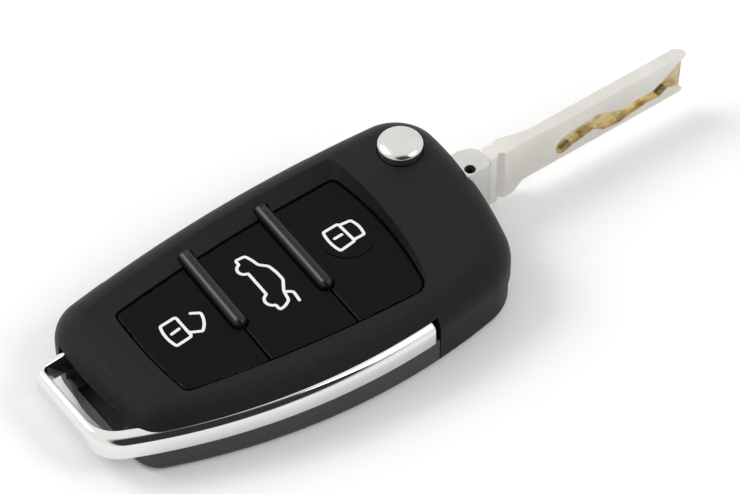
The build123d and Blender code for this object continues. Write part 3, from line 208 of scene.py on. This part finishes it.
def board_material():
    """Green solder mask with faint copper runs below it."""
    material, tree, shader = new_material("solder_mask")
    place = object_coordinates(tree)
    bricks = node(tree, "ShaderNodeTexBrick", in5=0.12)
    bricks.inputs["Scale"].default_value = 0.55
    bricks.inputs["Mortar Size"].default_value = 0.05
    bricks.inputs["Color1"].default_value = (0.012, 0.075, 0.03, 1)
    bricks.inputs["Color2"].default_value = (0.01, 0.062, 0.026, 1)
    bricks.inputs["Mortar"].default_value = (0.03, 0.15, 0.06, 1)
    tree.links.new(place, bricks.inputs["Vector"])
    tree.links.new(bricks.outputs["Color"], shader.inputs["Base Color"])
    weave = noise(tree, place, 3.0)
    tree.links.new(span(tree, weave, 0.3, 0.7, 0.22, 0.34), shader.inputs["Roughness"])
    tree.links.new(bump(tree, bricks.outputs["Fac"], 0.3, 0.03), shader.inputs["Normal"])
    return material


def ceramic_material():
    """Brown ceramic with tinned ends."""
    material, tree, shader = new_material("chip_ceramic")
    grain = noise(tree, object_coordinates(tree), 9.0)
    tree.links.new(colours(tree, grain, ((0.3, (0.3, 0.2, 0.11)), (0.7, (0.42, 0.3, 0.18)))),
                   shader.inputs["Base Color"])
    tree.links.new(span(tree, grain, 0.3, 0.7, 0.35, 0.5), shader.inputs["Roughness"])
    tree.links.new(bump(tree, grain, 0.2, 0.01), shader.inputs["Normal"])
    return material


# The ledge behind the bow, at the cover's tail, is painted a paler grey: painted light, for the light that
# falls on it.
LEDGE_END_X = -36.3
LEDGE_LOW = 2.9
LEDGE_HIGH = 3.05
LEDGE_PAINTED_LIGHT = (0.17, 0.172, 0.172)


def paint_light_on_ledge(material):
    """Paints the ledge behind the bow paler: painted light, standing in for the light that falls on it."""
    tree = material.node_tree
    shader = tree.nodes["Principled BSDF"]
    source = node(tree, "ShaderNodeTexCoord")
    parts = node(tree, "ShaderNodeSeparateXYZ")
    tree.links.new(source.outputs["Object"], parts.inputs[0])
    at_tail = calc(tree, "LESS_THAN", parts.outputs["X"], LEDGE_END_X * MM)
    below = calc(tree, "LESS_THAN", parts.outputs["Z"], LEDGE_HIGH * MM)
    above = calc(tree, "GREATER_THAN", parts.outputs["Z"], LEDGE_LOW * MM)
    mask = calc(tree, "MULTIPLY", at_tail, calc(tree, "MULTIPLY", below, above))
    mix = node(tree, "ShaderNodeMix", data_type="RGBA")
    tree.links.new(mask, mix.inputs[0])
    tree.links.new(shader.inputs["Base Color"].links[0].from_socket, mix.inputs[6])
    mix.inputs[7].default_value = (*LEDGE_PAINTED_LIGHT, 1)
    tree.links.new(mix.outputs[2], shader.inputs["Base Color"])


# Painted light on the cover's ledge behind the bow.
paint_light_on_ledge(shell_charcoal)
solder_mask = board_material()
chip_ceramic = ceramic_material()


# The CAD nodes' materials

node_materials = {
    "upper_shell": shell_black, "lower_shell": shell_black, "battery_cover": shell_charcoal,
    "key_ring_bow": chrome, "keypad_frame": gloss_black,
    "unlock_button": satin_black, "boot_button": satin_black, "lock_button": satin_black,
    "rubber_seal": silicone, "circuit_board": solder_mask,
    "unlock_switch": tin, "boot_switch": tin, "lock_switch": tin,
    "unlock_plunger": stem_white, "boot_plunger": stem_white, "lock_plunger": stem_white,
    "rf_chip": part_black, "quartz_crystal": tin, "transponder_coil": part_black,
    "capacitors": chip_ceramic, "coin_cell": cell_steel, "battery_tray": inner_black,
    "battery_contact_positive": spring_steel, "battery_contact_negative": spring_steel,
    "transponder_capsule": part_black, "case_screws": dark_steel,
    "blade_carrier": zinc, "roll_pin": pin_black, "key_blade": nickel,
    "release_button": nickel_button, "flip_spring": spring_steel,
}
for name, material in node_materials.items():
    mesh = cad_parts[name].data
    mesh.materials.clear()
    mesh.materials.append(material)


# Mesh helpers, with lengths in millimetres

def add_object(name, bm, material, body, smooth=35.0, replaced=()):
    """Makes a piece of a bmesh in millimetres, shades it, and lets it ride on its body."""
    bmesh.ops.recalc_face_normals(bm, faces=bm.faces)
    bmesh.ops.scale(bm, vec=(MM, MM, MM), verts=bm.verts)
    mesh = bpy.data.meshes.new(name)
    bm.to_mesh(mesh)
    bm.free()
    for material_used in material if isinstance(material, (list, tuple)) else [material]:
        mesh.materials.append(material_used)
    mesh.shade_smooth()
    mesh.set_sharp_from_angle(angle=radians(smooth))
    piece = bpy.data.objects.new(name, mesh)
    scene.collection.objects.link(piece)
    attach(piece, body)
    if replaced:
        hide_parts(*replaced)
    return piece


def cad_mesh(name):
    """A CAD node's mesh in millimetres."""
    bm = bmesh.new()
    bm.from_mesh(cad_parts[name].data)
    bmesh.ops.scale(bm, vec=(1 / MM, 1 / MM, 1 / MM), verts=bm.verts)
    return bm


def skin_rings(bm, rings, closed=True, cap_first=False, cap_last=False):
    """Joins rings of points into a skin, with the ends closed where asked."""
    rows = [[bm.verts.new(point) for point in ring] for ring in rings]
    for low, high in zip(rows, rows[1:]):
        count = len(low)
        for i in range(count if closed else count - 1):
            j = (i + 1) % count
            bm.faces.new((low[i], low[j], high[j], high[i]))
    if cap_first:
        bm.faces.new(reversed(rows[0]))
    if cap_last:
        bm.faces.new(rows[-1])
    return rows


# Plan curves that the finer pieces are drawn along

LEAN = radians(1.05)
PIVOT = (27.4, 9.55, 0.0)


def leaned(u, v, w, base):
    """A point of the frame that leans back with the blade, measured from a base point."""
    return (base[0] + u * cos(LEAN) - w * sin(LEAN), base[1] + v, base[2] + u * sin(LEAN) + w * cos(LEAN))


def circle_through(a, b, c):
    """Centre and radius of the circle through three points of the plan."""
    ax, ay, bx, by = b[0] - a[0], b[1] - a[1], c[0] - a[0], c[1] - a[1]
    twice = 2 * (ax * by - ay * bx)
    x = (by * (ax * ax + ay * ay) - ay * (bx * bx + by * by)) / twice
    y = (ax * (bx * bx + by * by) - bx * (ax * ax + ay * ay)) / twice
    return (a[0] + x, a[1] + y), hypot(x, y)


def arc_points(centre, radius, start, end, steps):
    """Points and outward directions along an arc, from one angle to another."""
    angles = [start + (end - start) * i / steps for i in range(steps + 1)]
    return [(centre[0] + radius * cos(a), centre[1] + radius * sin(a), cos(a), sin(a)) for a in angles]


def arc_between(a, via, b, steps=8):
    """Points of the arc from a through via to b, without its two ends."""
    centre, radius = circle_through(a, via, b)
    start, middle, end = (atan2(q[1] - centre[1], q[0] - centre[0]) for q in (a, via, b))
    turn = (end - start) % (2 * pi)
    if (middle - start) % (2 * pi) > turn:
        turn -= 2 * pi
    return [point[:2] for point in arc_points(centre, radius, start, start + turn, steps)[1:-1]]


def rounded(points, radius, closed, steps=4):
    """A path with its corners rounded."""
    path = []
    count = len(points)
    for i, corner in enumerate(points):
        corner = Vector(corner)
        if not closed and i in (0, count - 1):
            path.append(corner)
            continue
        before, after = Vector(points[i - 1]) - corner, Vector(points[(i + 1) % count]) - corner
        reach = min(radius, before.length * 0.45, after.length * 0.45)
        start, end = corner + before.normalized() * reach, corner + after.normalized() * reach
        for k in range(steps + 1):
            t = k / steps
            path.append(start * (1 - t) ** 2 + corner * 2 * t * (1 - t) + end * t * t)
    return path


# The key-ring bow: one sweep, slim across the tail and wider along the near arm,
# with its outer top edge rounded

BOW_HEIGHT = 4.25
BOW_BASE = (0.0, 0.0, 6.0)
BOW_BAR_X = -42.6
BOW_BAR_WIDTH = 1.5
BOW_ARM_WIDTH = 2.5
BOW_ARM_END = 12.15
BOW_SHORT_END = (-31.5, 10.35)
BOW_FAR_Y = 9.25
BOW_OUTER_RADII = (2.5, 7.0)
BOW_INNER_RADII = (1.0, 5.4)
BOW_ROUND_REACH = 2.1
BOW_ROUND_DROP = 1.75
BOW_LAND = 0.33
BOW_OUTER_EDGE = 0.3
BOW_INNER_EDGE = 0.25
BOW_STANDS_OUT = 0.3
NEAR_SIDE = ((30.4, -17.5), (4.0, -20.6), (-35.9, -11.9))
ARM_CENTRE, ARM_RADIUS = circle_through(*NEAR_SIDE)
ARM_RADIUS += BOW_STANDS_OUT


def bow_edge(bar_x, shift, arm_radius, far_radius, near_radius):
    """One edge of the bow from above, as points, in the same number of steps for the outer and inner edge."""
    short_end = Vector((BOW_SHORT_END[0], BOW_SHORT_END[1] + shift))
    far_corner = Vector((bar_x, BOW_FAR_Y + shift))
    along = (far_corner - short_end).normalized()
    inward = Vector((-along.y, along.x))
    bend = bar_x + far_radius
    run = (short_end.x + far_radius * inward.x - bend) / -along.x
    far_centre = (bend, short_end.y + run * along.y + far_radius * inward.y)
    near_x = bar_x + near_radius
    drop = sqrt((arm_radius - near_radius) ** 2 - (near_x - ARM_CENTRE[0]) ** 2)
    near_centre = (near_x, ARM_CENTRE[1] - drop)
    turn_end = atan2(near_centre[1] - ARM_CENTRE[1], near_centre[0] - ARM_CENTRE[0])
    arm_end = -acos((BOW_ARM_END - ARM_CENTRE[0]) / arm_radius)
    far_start = atan2(-inward.y, -inward.x)
    start = [short_end + (Vector((bend, far_centre[1])) - short_end) * k / 6 for k in range(3)]
    course = [(point.x, point.y) for point in start]
    course += [point[:2] for point in arc_points(far_centre, far_radius, far_start, pi, 20)]
    course += [(bar_x, far_centre[1] + (near_centre[1] - far_centre[1]) * k / 16) for k in range(1, 16)]
    course += [point[:2] for point in arc_points(near_centre, near_radius, pi, turn_end + 2 * pi, 36)]
    course += [point[:2] for point in arc_points(ARM_CENTRE, arm_radius, turn_end, arm_end, 72)[1:]]
    return [Vector(point) for point in course]


def corner_arc(x, z, reach, drop, steps, start):
    """A rounded corner of the section, for a corner at x and z."""
    middle_x = x + (reach if x == 0 else -reach)
    middle_z = z + (drop if z == 0 else -drop)
    return [(middle_x + reach * nx, middle_z + drop * nz)
            for _, _, nx, nz in arc_points((0, 0), 1.0, start, start + pi / 2, steps)]


def bow_ring(outer, inner, inset=0.0):
    """The section between a point of the outer edge and one of the inner edge, drawn in by an inset."""
    width = (inner - outer).length
    reach = min(BOW_ROUND_REACH, width - BOW_LAND)
    section = corner_arc(0.0, 0.0, BOW_OUTER_EDGE, BOW_OUTER_EDGE, 4, pi)
    section += corner_arc(width, 0.0, BOW_INNER_EDGE, BOW_INNER_EDGE, 4, 1.5 * pi)
    section += corner_arc(width, BOW_HEIGHT, BOW_INNER_EDGE, BOW_INNER_EDGE, 5, 0.0)
    section += corner_arc(0.0, BOW_HEIGHT, reach, BOW_ROUND_DROP, 20, 0.5 * pi)
    inward = (inner - outer) / width
    ring = []
    for d, z in section:
        d = inset + d * (1 - 2 * inset / width)
        z = inset + z * (1 - 2 * inset / BOW_HEIGHT)
        ring.append(leaned(outer.x + inward.x * d, outer.y + inward.y * d, z, BOW_BASE))
    return ring


def add_bow():
    """The polished bow."""
    half = BOW_BAR_WIDTH / 2
    outer = bow_edge(BOW_BAR_X, half, ARM_RADIUS, *BOW_OUTER_RADII)
    inner = bow_edge(BOW_BAR_X + BOW_BAR_WIDTH, -half, ARM_RADIUS - BOW_ARM_WIDTH, *BOW_INNER_RADII)
    rings = [bow_ring(a, b) for a, b in zip(outer[:-1], inner[:-1])]
    end_outer, end_inner = outer[-1], inner[-1]
    back = (outer[-2] - end_outer).normalized()
    for step, inset in ((0.5, 0.0), (0.3, 0.04), (0.14, 0.13), (0.04, 0.27), (0.0, 0.45)):
        rings.append(bow_ring(end_outer + back * step, end_inner + back * step, inset))
    bm = bmesh.new()
    skin_rings(bm, rings, cap_first=True, cap_last=True)
    add_object("polished_bow", bm, chrome, "housing", 50, ("key_ring_bow",))


# The keypad frame: the plate, and two half-round ridges with rounded near ends

RIDGES = (((-12.1, 16.0), (-13.55, -16.0), 12.5, -4.7), ((2.9, 16.0), (1.85, -16.0), 13.5, -6.1))
RIDGE_HALF = 1.255
RIDGE_TOP = 13.7
RIDGE_SHOULDER = 12.45
RIDGE_FOOT = 11.9
RIDGE_END_DROP = 0.3


def add_ridges():
    """The plate of the frame with its two ridges."""
    bm = cad_mesh("keypad_frame")
    bmesh.ops.remove_doubles(bm, verts=bm.verts, dist=0.001)
    everything = list(bm.verts) + list(bm.edges) + list(bm.faces)
    bmesh.ops.bisect_plane(bm, geom=everything, plane_co=(0, 0, RIDGE_FOOT + 0.1), plane_no=(0, 0, 1),
                           clear_outer=True)
    bmesh.ops.holes_fill(bm, edges=[edge for edge in bm.edges if edge.is_boundary], sides=0)
    for (x0, y0), (x1, y1), far, near in RIDGES:
        stops = [(far + (near + RIDGE_HALF - far) * i / 12, 1.0) for i in range(13)]
        stops += [(near + RIDGE_HALF * (1 - sin(a)), cos(a)) for a in (radians(9 * k) for k in range(1, 10))]
        rings = []
        for y, scale in stops:
            x = x0 + (x1 - x0) * (y - y0) / (y1 - y0)
            ring = [(x + RIDGE_HALF * scale, y, RIDGE_FOOT)]
            for k in range(25):
                a = pi * k / 24
                rise = (RIDGE_TOP - RIDGE_SHOULDER) * sin(a) * sqrt(scale)
                foot = RIDGE_SHOULDER - RIDGE_END_DROP * (1 - scale)
                ring.append((x + RIDGE_HALF * scale * cos(a), y, foot + rise))
            ring.append((x - RIDGE_HALF * scale, y, RIDGE_FOOT))
            rings.append(ring)
        skin_rings(bm, rings, cap_first=True, cap_last=True)
    add_object("ridged_frame", bm, gloss_black, "housing", 40, ("keypad_frame",))


# The release button: turned, with a low dome, a rounded rim and a stem

RELEASE_TOP = 16.85
RELEASE_FACE_RADIUS = 1.7
RELEASE_FACE_DROP = 0.08
RELEASE_RIM_REACH = 2.0
RELEASE_RIM_DROP = 1.05


def add_release():
    """The button on the pivot."""
    profile = [(0.0, RELEASE_TOP)]
    profile += [(RELEASE_FACE_RADIUS * k / 6, RELEASE_TOP - RELEASE_FACE_DROP * (k / 6) ** 2)
                for k in range(1, 7)]
    rim_foot = RELEASE_TOP - RELEASE_FACE_DROP - RELEASE_RIM_DROP
    profile += [(RELEASE_FACE_RADIUS + RELEASE_RIM_REACH * nx, rim_foot + RELEASE_RIM_DROP * nz)
                for _, _, nx, nz in arc_points((0, 0), 1.0, radians(84), 0.0, 20)]
    profile += [(3.7, 15.0), (3.7, 12.8), (3.6, 12.7), (1.7, 12.7), (1.6, 12.6), (1.6, 6.75), (1.45, 6.6),
                (0.0, 6.6)]
    bm = bmesh.new()
    turns = 96
    rows = [[bm.verts.new(leaned(r * cos(2 * pi * k / turns), r * sin(2 * pi * k / turns), z, PIVOT))
             for k in range(turns)] for r, z in profile[1:-1]]
    for high, low_row in zip(rows, rows[1:]):
        for k in range(turns):
            j = (k + 1) % turns
            bm.faces.new((high[k], high[j], low_row[j], low_row[k]))
    for row, (_, z) in ((rows[0], profile[0]), (rows[-1], profile[-1])):
        hub = bm.verts.new(leaned(0, 0, z, PIVOT))
        for k in range(turns):
            bm.faces.new((hub, row[k], row[(k + 1) % turns]))
    add_object("domed_button", bm, nickel_button, "release", 35, ("release_button",))


# The blade and its carrier: their edges eased, and the milled track bare brass

TRACK_NEAR_Y = 0.46
TRACK_FLOOR_Y = 1.35
TRACK_START_X = 51.0
TRACK_END_X = 78.2
TRACK_LOW = 4.3
TRACK_HIGH = 11.95
TIP_X = 77.5


def eased(name):
    """A CAD node's mesh in millimetres, with its flat faces whole."""
    bm = cad_mesh(name)
    bmesh.ops.remove_doubles(bm, verts=bm.verts, dist=0.001)
    bmesh.ops.dissolve_limit(bm, angle_limit=radians(0.5), verts=bm.verts, edges=bm.edges)
    return bm


def ease_edges(bm, width, angle):
    """Bevels the sharp edges in two flats."""
    sharp = [edge for edge in bm.edges if edge.is_manifold and edge.calc_face_angle() > radians(angle)]
    bmesh.ops.bevel(bm, geom=sharp, offset=width, segments=2, profile=0.5, affect="EDGES", clamp_overlap=True)


def add_blade():
    """The plated blade with its cut track."""
    bm = eased("key_blade")
    for face in bm.faces:
        middle = face.calc_center_median()
        level = middle.z - (middle.x - PIVOT[0]) * tan(LEAN)
        inside = (TRACK_NEAR_Y < middle.y < TRACK_FLOOR_Y + 0.02
                  and TRACK_START_X < middle.x < TRACK_END_X and TRACK_LOW < level < TRACK_HIGH)
        at_tip = middle.x > TIP_X and face.normal.x > 0.9
        face.material_index = 1 if inside and not at_tip else 0
    ease_edges(bm, 0.14, 28)
    add_object("cut_blade", bm, (nickel, brass), "blade_unit", 18, ("key_blade",))


def add_carrier():
    """The casting that holds the blade."""
    bm = eased("blade_carrier")
    ease_edges(bm, 0.12, 40)
    add_object("cast_carrier", bm, zinc, "blade_unit", 18, ("blade_carrier",))


# The flip spring round the button's stem, given a mesh of its own


def add_spring():
    """The coil round the button's stem."""
    bm = cad_mesh("flip_spring")
    piece = add_object("wound_spring", bm, spring_steel, "blade_unit", 60, ("flip_spring",))
    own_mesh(piece)


# The printed symbols

LINE_WIDTH = 0.5
CORNER_RADIUS = 0.4
PANEL_LEVEL = 12.4
DISC_LEVEL = 12.54
PRINT_RISE = 0.025
PRINT_STEP = 0.003
CAP_POINTS = 5


def round_end(middle, start, half):
    """Points of the half circle round a line's end, from a start on its edge, without its two ends."""
    angle = atan2(start.y - middle.y, start.x - middle.x)
    turns = (pi * k / (CAP_POINTS + 1) for k in range(1, CAP_POINTS + 1))
    return [middle + Vector((cos(angle - a), sin(angle - a))) * half for a in turns]


def stroke(bm, path, closed, width, level, depth=0.05):
    """A printed line of a width along a path, as a thin closed slab with round ends."""
    points = [Vector(point[:2]) for point in path]
    count = len(points)
    half = width / 2
    left, right = [], []
    for i, point in enumerate(points):
        before = points[i - 1] if closed or i else point
        after = points[(i + 1) % count] if closed or i < count - 1 else point
        first = (point - before).normalized() if point != before else (after - point).normalized()
        second = (after - point).normalized() if after != point else first
        along = (first + second).normalized()
        side = Vector((-along.y, along.x))
        reach = half / max(0.5, side.dot(Vector((-first.y, first.x))))
        left.append(point + side * reach)
        right.append(point - side * reach)
    if closed:
        loops = [left, right]
    else:
        far_cap, near_cap = round_end(points[-1], left[-1], half), round_end(points[0], right[0], half)
        loops = [left + far_cap + right[::-1] + near_cap]
    low = [[bm.verts.new((*point, level - depth)) for point in loop] for loop in loops]
    high = [[bm.verts.new((*point, level)) for point in loop] for loop in loops]
    for lower_loop, upper_loop in zip(low, high):
        size = len(lower_loop)
        for k in range(size):
            j = (k + 1) % size
            bm.faces.new((lower_loop[k], lower_loop[j], upper_loop[j], upper_loop[k]))
    if closed:
        for a, b in ((high[0], high[1]), (low[0], low[1])):
            for k in range(count):
                j = (k + 1) % count
                bm.faces.new((a[k], a[j], b[j], b[k]))
    else:
        opposite = 2 * count + CAP_POINTS - 1
        for loop in (high[0], low[0]):
            for k in range(count - 1):
                bm.faces.new((loop[k], loop[k + 1], loop[opposite - k - 1], loop[opposite - k]))
            bm.faces.new(loop[count - 1:count + CAP_POINTS + 1])
            bm.faces.new([loop[0]] + loop[opposite:])


def arc_path(points):
    """A path of points, where a point after the word via bends an arc through it."""
    path = []
    items = list(points)
    i = 0
    while i < len(items):
        if items[i] == "via":
            path += arc_between(path[-1], items[i + 1], items[i + 2])
            i += 2
        else:
            path.append(items[i])
            i += 1
    return path


SYMBOLS = {
    "lock_print": ("lock_key", DISC_LEVEL, (
        (((8.0, -0.9), "via", (7.62, 1.56), (7.95, 3.75), (10.86, 3.89), (11.01, -0.52)), True),
        (((11.0, 3.53), (12.9, 3.32), "via", (13.28, 1.53), (12.98, -0.24), (11.0, -0.24)), False),
        (((8.66, 1.66), (10.08, 1.73)), False),
    )),
    "unlock_print": ("unlock_key", PANEL_LEVEL, (
        (((-23.38, -1.85), "via", (-23.77, 0.37), (-23.34, 2.82), (-20.38, 3.03), (-20.43, -1.57)), True),
        (((-20.4, -0.7), (-18.53, -1.71), "via", (-17.4, -0.45), (-16.75, 1.5), (-18.09, 2.34)), False),
        (((-22.74, 0.54), (-21.22, 0.77)), False),
    )),
    "boot_print": ("boot_key", PANEL_LEVEL, (
        (((-6.43, 7.08), (-4.7, 6.99), (-4.24, 5.64), (-4.02, 4.38), (-2.82, 3.15), (-2.57, 1.35),
          (-2.58, -0.37), (-3.86, -2.34), (-4.29, -4.34), (-5.39, -4.97), (-6.46, -5.14), (-6.5, -3.96),
          "via", (-7.49, -2.7), (-6.41, -1.37), (-6.29, 3.77), "via", (-7.4, 4.9), (-6.44, 6.06)), True),
        (((-3.78, -2.55), (-2.71, -3.33), (-2.97, -5.3)), False),
    )),
}


def add_symbols():
    """The white line symbols on the three buttons."""
    for name, (body, level, strokes) in SYMBOLS.items():
        bm = bmesh.new()
        for number, (points, closed) in enumerate(strokes):
            path = rounded(arc_path(points), CORNER_RADIUS, closed)
            stroke(bm, path, closed, LINE_WIDTH, level + PRINT_RISE + PRINT_STEP * number)
        add_object(name, bm, ink_white, body, 30)


add_bow()
add_ridges()
add_release()
add_blade()
add_carrier()
add_spring()
add_symbols()


# Camera: the photograph's own view, solved from the key's edges

FOCAL_PIXELS = 3750.0
FRAME_WIDTH = 740.0
SENSOR = 36.0
AZIMUTH = radians(-36.0)
ELEVATION = radians(48.5)
DISTANCE = 590.0
TARGET = Vector((14.6, 0.44, 7.8))


def add_camera():
    """The photograph's viewpoint."""
    back = Vector((sin(AZIMUTH) * cos(ELEVATION), -cos(AZIMUTH) * cos(ELEVATION), sin(ELEVATION)))
    right = Vector((cos(AZIMUTH), sin(AZIMUTH), 0))
    up = back.cross(right)
    data = bpy.data.cameras.new("camera")
    data.sensor_width = SENSOR
    data.lens = FOCAL_PIXELS / FRAME_WIDTH * SENSOR
    data.clip_start = 0.01
    camera = bpy.data.objects.new("camera", data)
    turn = Matrix((right, up, back)).transposed().to_4x4()
    camera.matrix_world = Matrix.Translation((TARGET + back * DISTANCE) * MM) @ turn
    scene.collection.objects.link(camera)
    scene.camera = camera


# Stage: a white ground, soft lamps and a pale surround

FLOOR_Z = -0.00002
FLOOR_LIFT = 0.05
WORLD_STRENGTH = 0.65
DARK_SIDE = (-0.25, -0.78, 0.57)
SURROUND = ((0.0, (0.95, 0.95, 0.94)), (0.74, (0.9, 0.9, 0.89)),
            (0.8, (0.6, 0.595, 0.58)), (0.87, (0.035, 0.034, 0.032)))
ON_THE_KEY = (0.0, 0.0, 0.01)


def add_floor():
    """A large white sheet under the key, a little brighter to the camera than its light alone makes it."""
    material, tree, shader = new_material("floor_white")
    grain = noise(tree, object_coordinates(tree), 0.02)
    tree.links.new(colours(tree, grain, ((0.3, (0.935, 0.935, 0.936)), (0.7, (0.95, 0.95, 0.951)))),
                   shader.inputs["Base Color"])
    shader.inputs["Roughness"].default_value = 0.9
    shader.inputs["Specular IOR Level"].default_value = 0.1
    seen = node(tree, "ShaderNodeLightPath").outputs["Is Camera Ray"]
    tree.links.new(calc(tree, "MULTIPLY", seen, FLOOR_LIFT), shader.inputs["Emission Strength"])
    shader.inputs["Emission Color"].default_value = (1, 1, 1, 1)
    bm = bmesh.new()
    bmesh.ops.create_grid(bm, x_segments=8, y_segments=8, size=1.6)
    mesh = bpy.data.meshes.new("floor")
    bm.to_mesh(mesh)
    bm.free()
    mesh.materials.append(material)
    floor = bpy.data.objects.new("floor", mesh)
    floor.location = (0, 0, FLOOR_Z)
    scene.collection.objects.link(floor)


def add_area(name, place, aim, size, power, colour=(1, 1, 1)):
    """A soft lamp at a place in metres, aimed at a point."""
    data = bpy.data.lights.new(name, "AREA")
    data.shape = "RECTANGLE"
    data.size, data.size_y = size
    data.energy = power
    data.color = colour
    lamp = bpy.data.objects.new(name, data)
    direction = Vector(aim) - Vector(place)
    lamp.location = place
    lamp.rotation_euler = direction.to_track_quat("-Z", "Y").to_euler()
    scene.collection.objects.link(lamp)


def add_world():
    """A pale surround with a darker region on the near side, seen alike by camera, mirrors and glass."""
    world = bpy.data.worlds.new("world")
    scene.world = world
    world.use_nodes = True
    tree = world.node_tree
    background = tree.nodes["Background"]
    background.inputs["Color"].default_value = (0.95, 0.95, 0.952, 1)
    background.inputs["Strength"].default_value = WORLD_STRENGTH
    towards = node(tree, "ShaderNodeVectorMath", operation="DOT_PRODUCT", in1=DARK_SIDE)
    tree.links.new(node(tree, "ShaderNodeTexCoord").outputs["Generated"], towards.inputs[0])
    shade = colours(tree, towards.outputs["Value"], SURROUND)
    seen = node(tree, "ShaderNodeBackground", in1=1.0)
    tree.links.new(shade, seen.inputs["Color"])
    path = node(tree, "ShaderNodeLightPath")
    glossy = calc(tree, "MAXIMUM", path.outputs["Is Glossy Ray"], path.outputs["Is Transmission Ray"])
    mix = node(tree, "ShaderNodeMixShader")
    tree.links.new(calc(tree, "MAXIMUM", path.outputs["Is Camera Ray"], glossy), mix.inputs[0])
    tree.links.new(background.outputs[0], mix.inputs[1])
    tree.links.new(seen.outputs[0], mix.inputs[2])
    tree.links.new(mix.outputs[0], tree.nodes["World Output"].inputs["Surface"])


add_camera()
add_floor()
add_world()
add_area("key_lamp", (-0.58, 0.65, 0.86), ON_THE_KEY, (0.6, 0.6), 6.5)
add_area("near_lamp", (0.47, -0.68, 0.86), ON_THE_KEY, (0.5, 0.5), 3.0)

scene.view_settings.view_transform = "Standard"
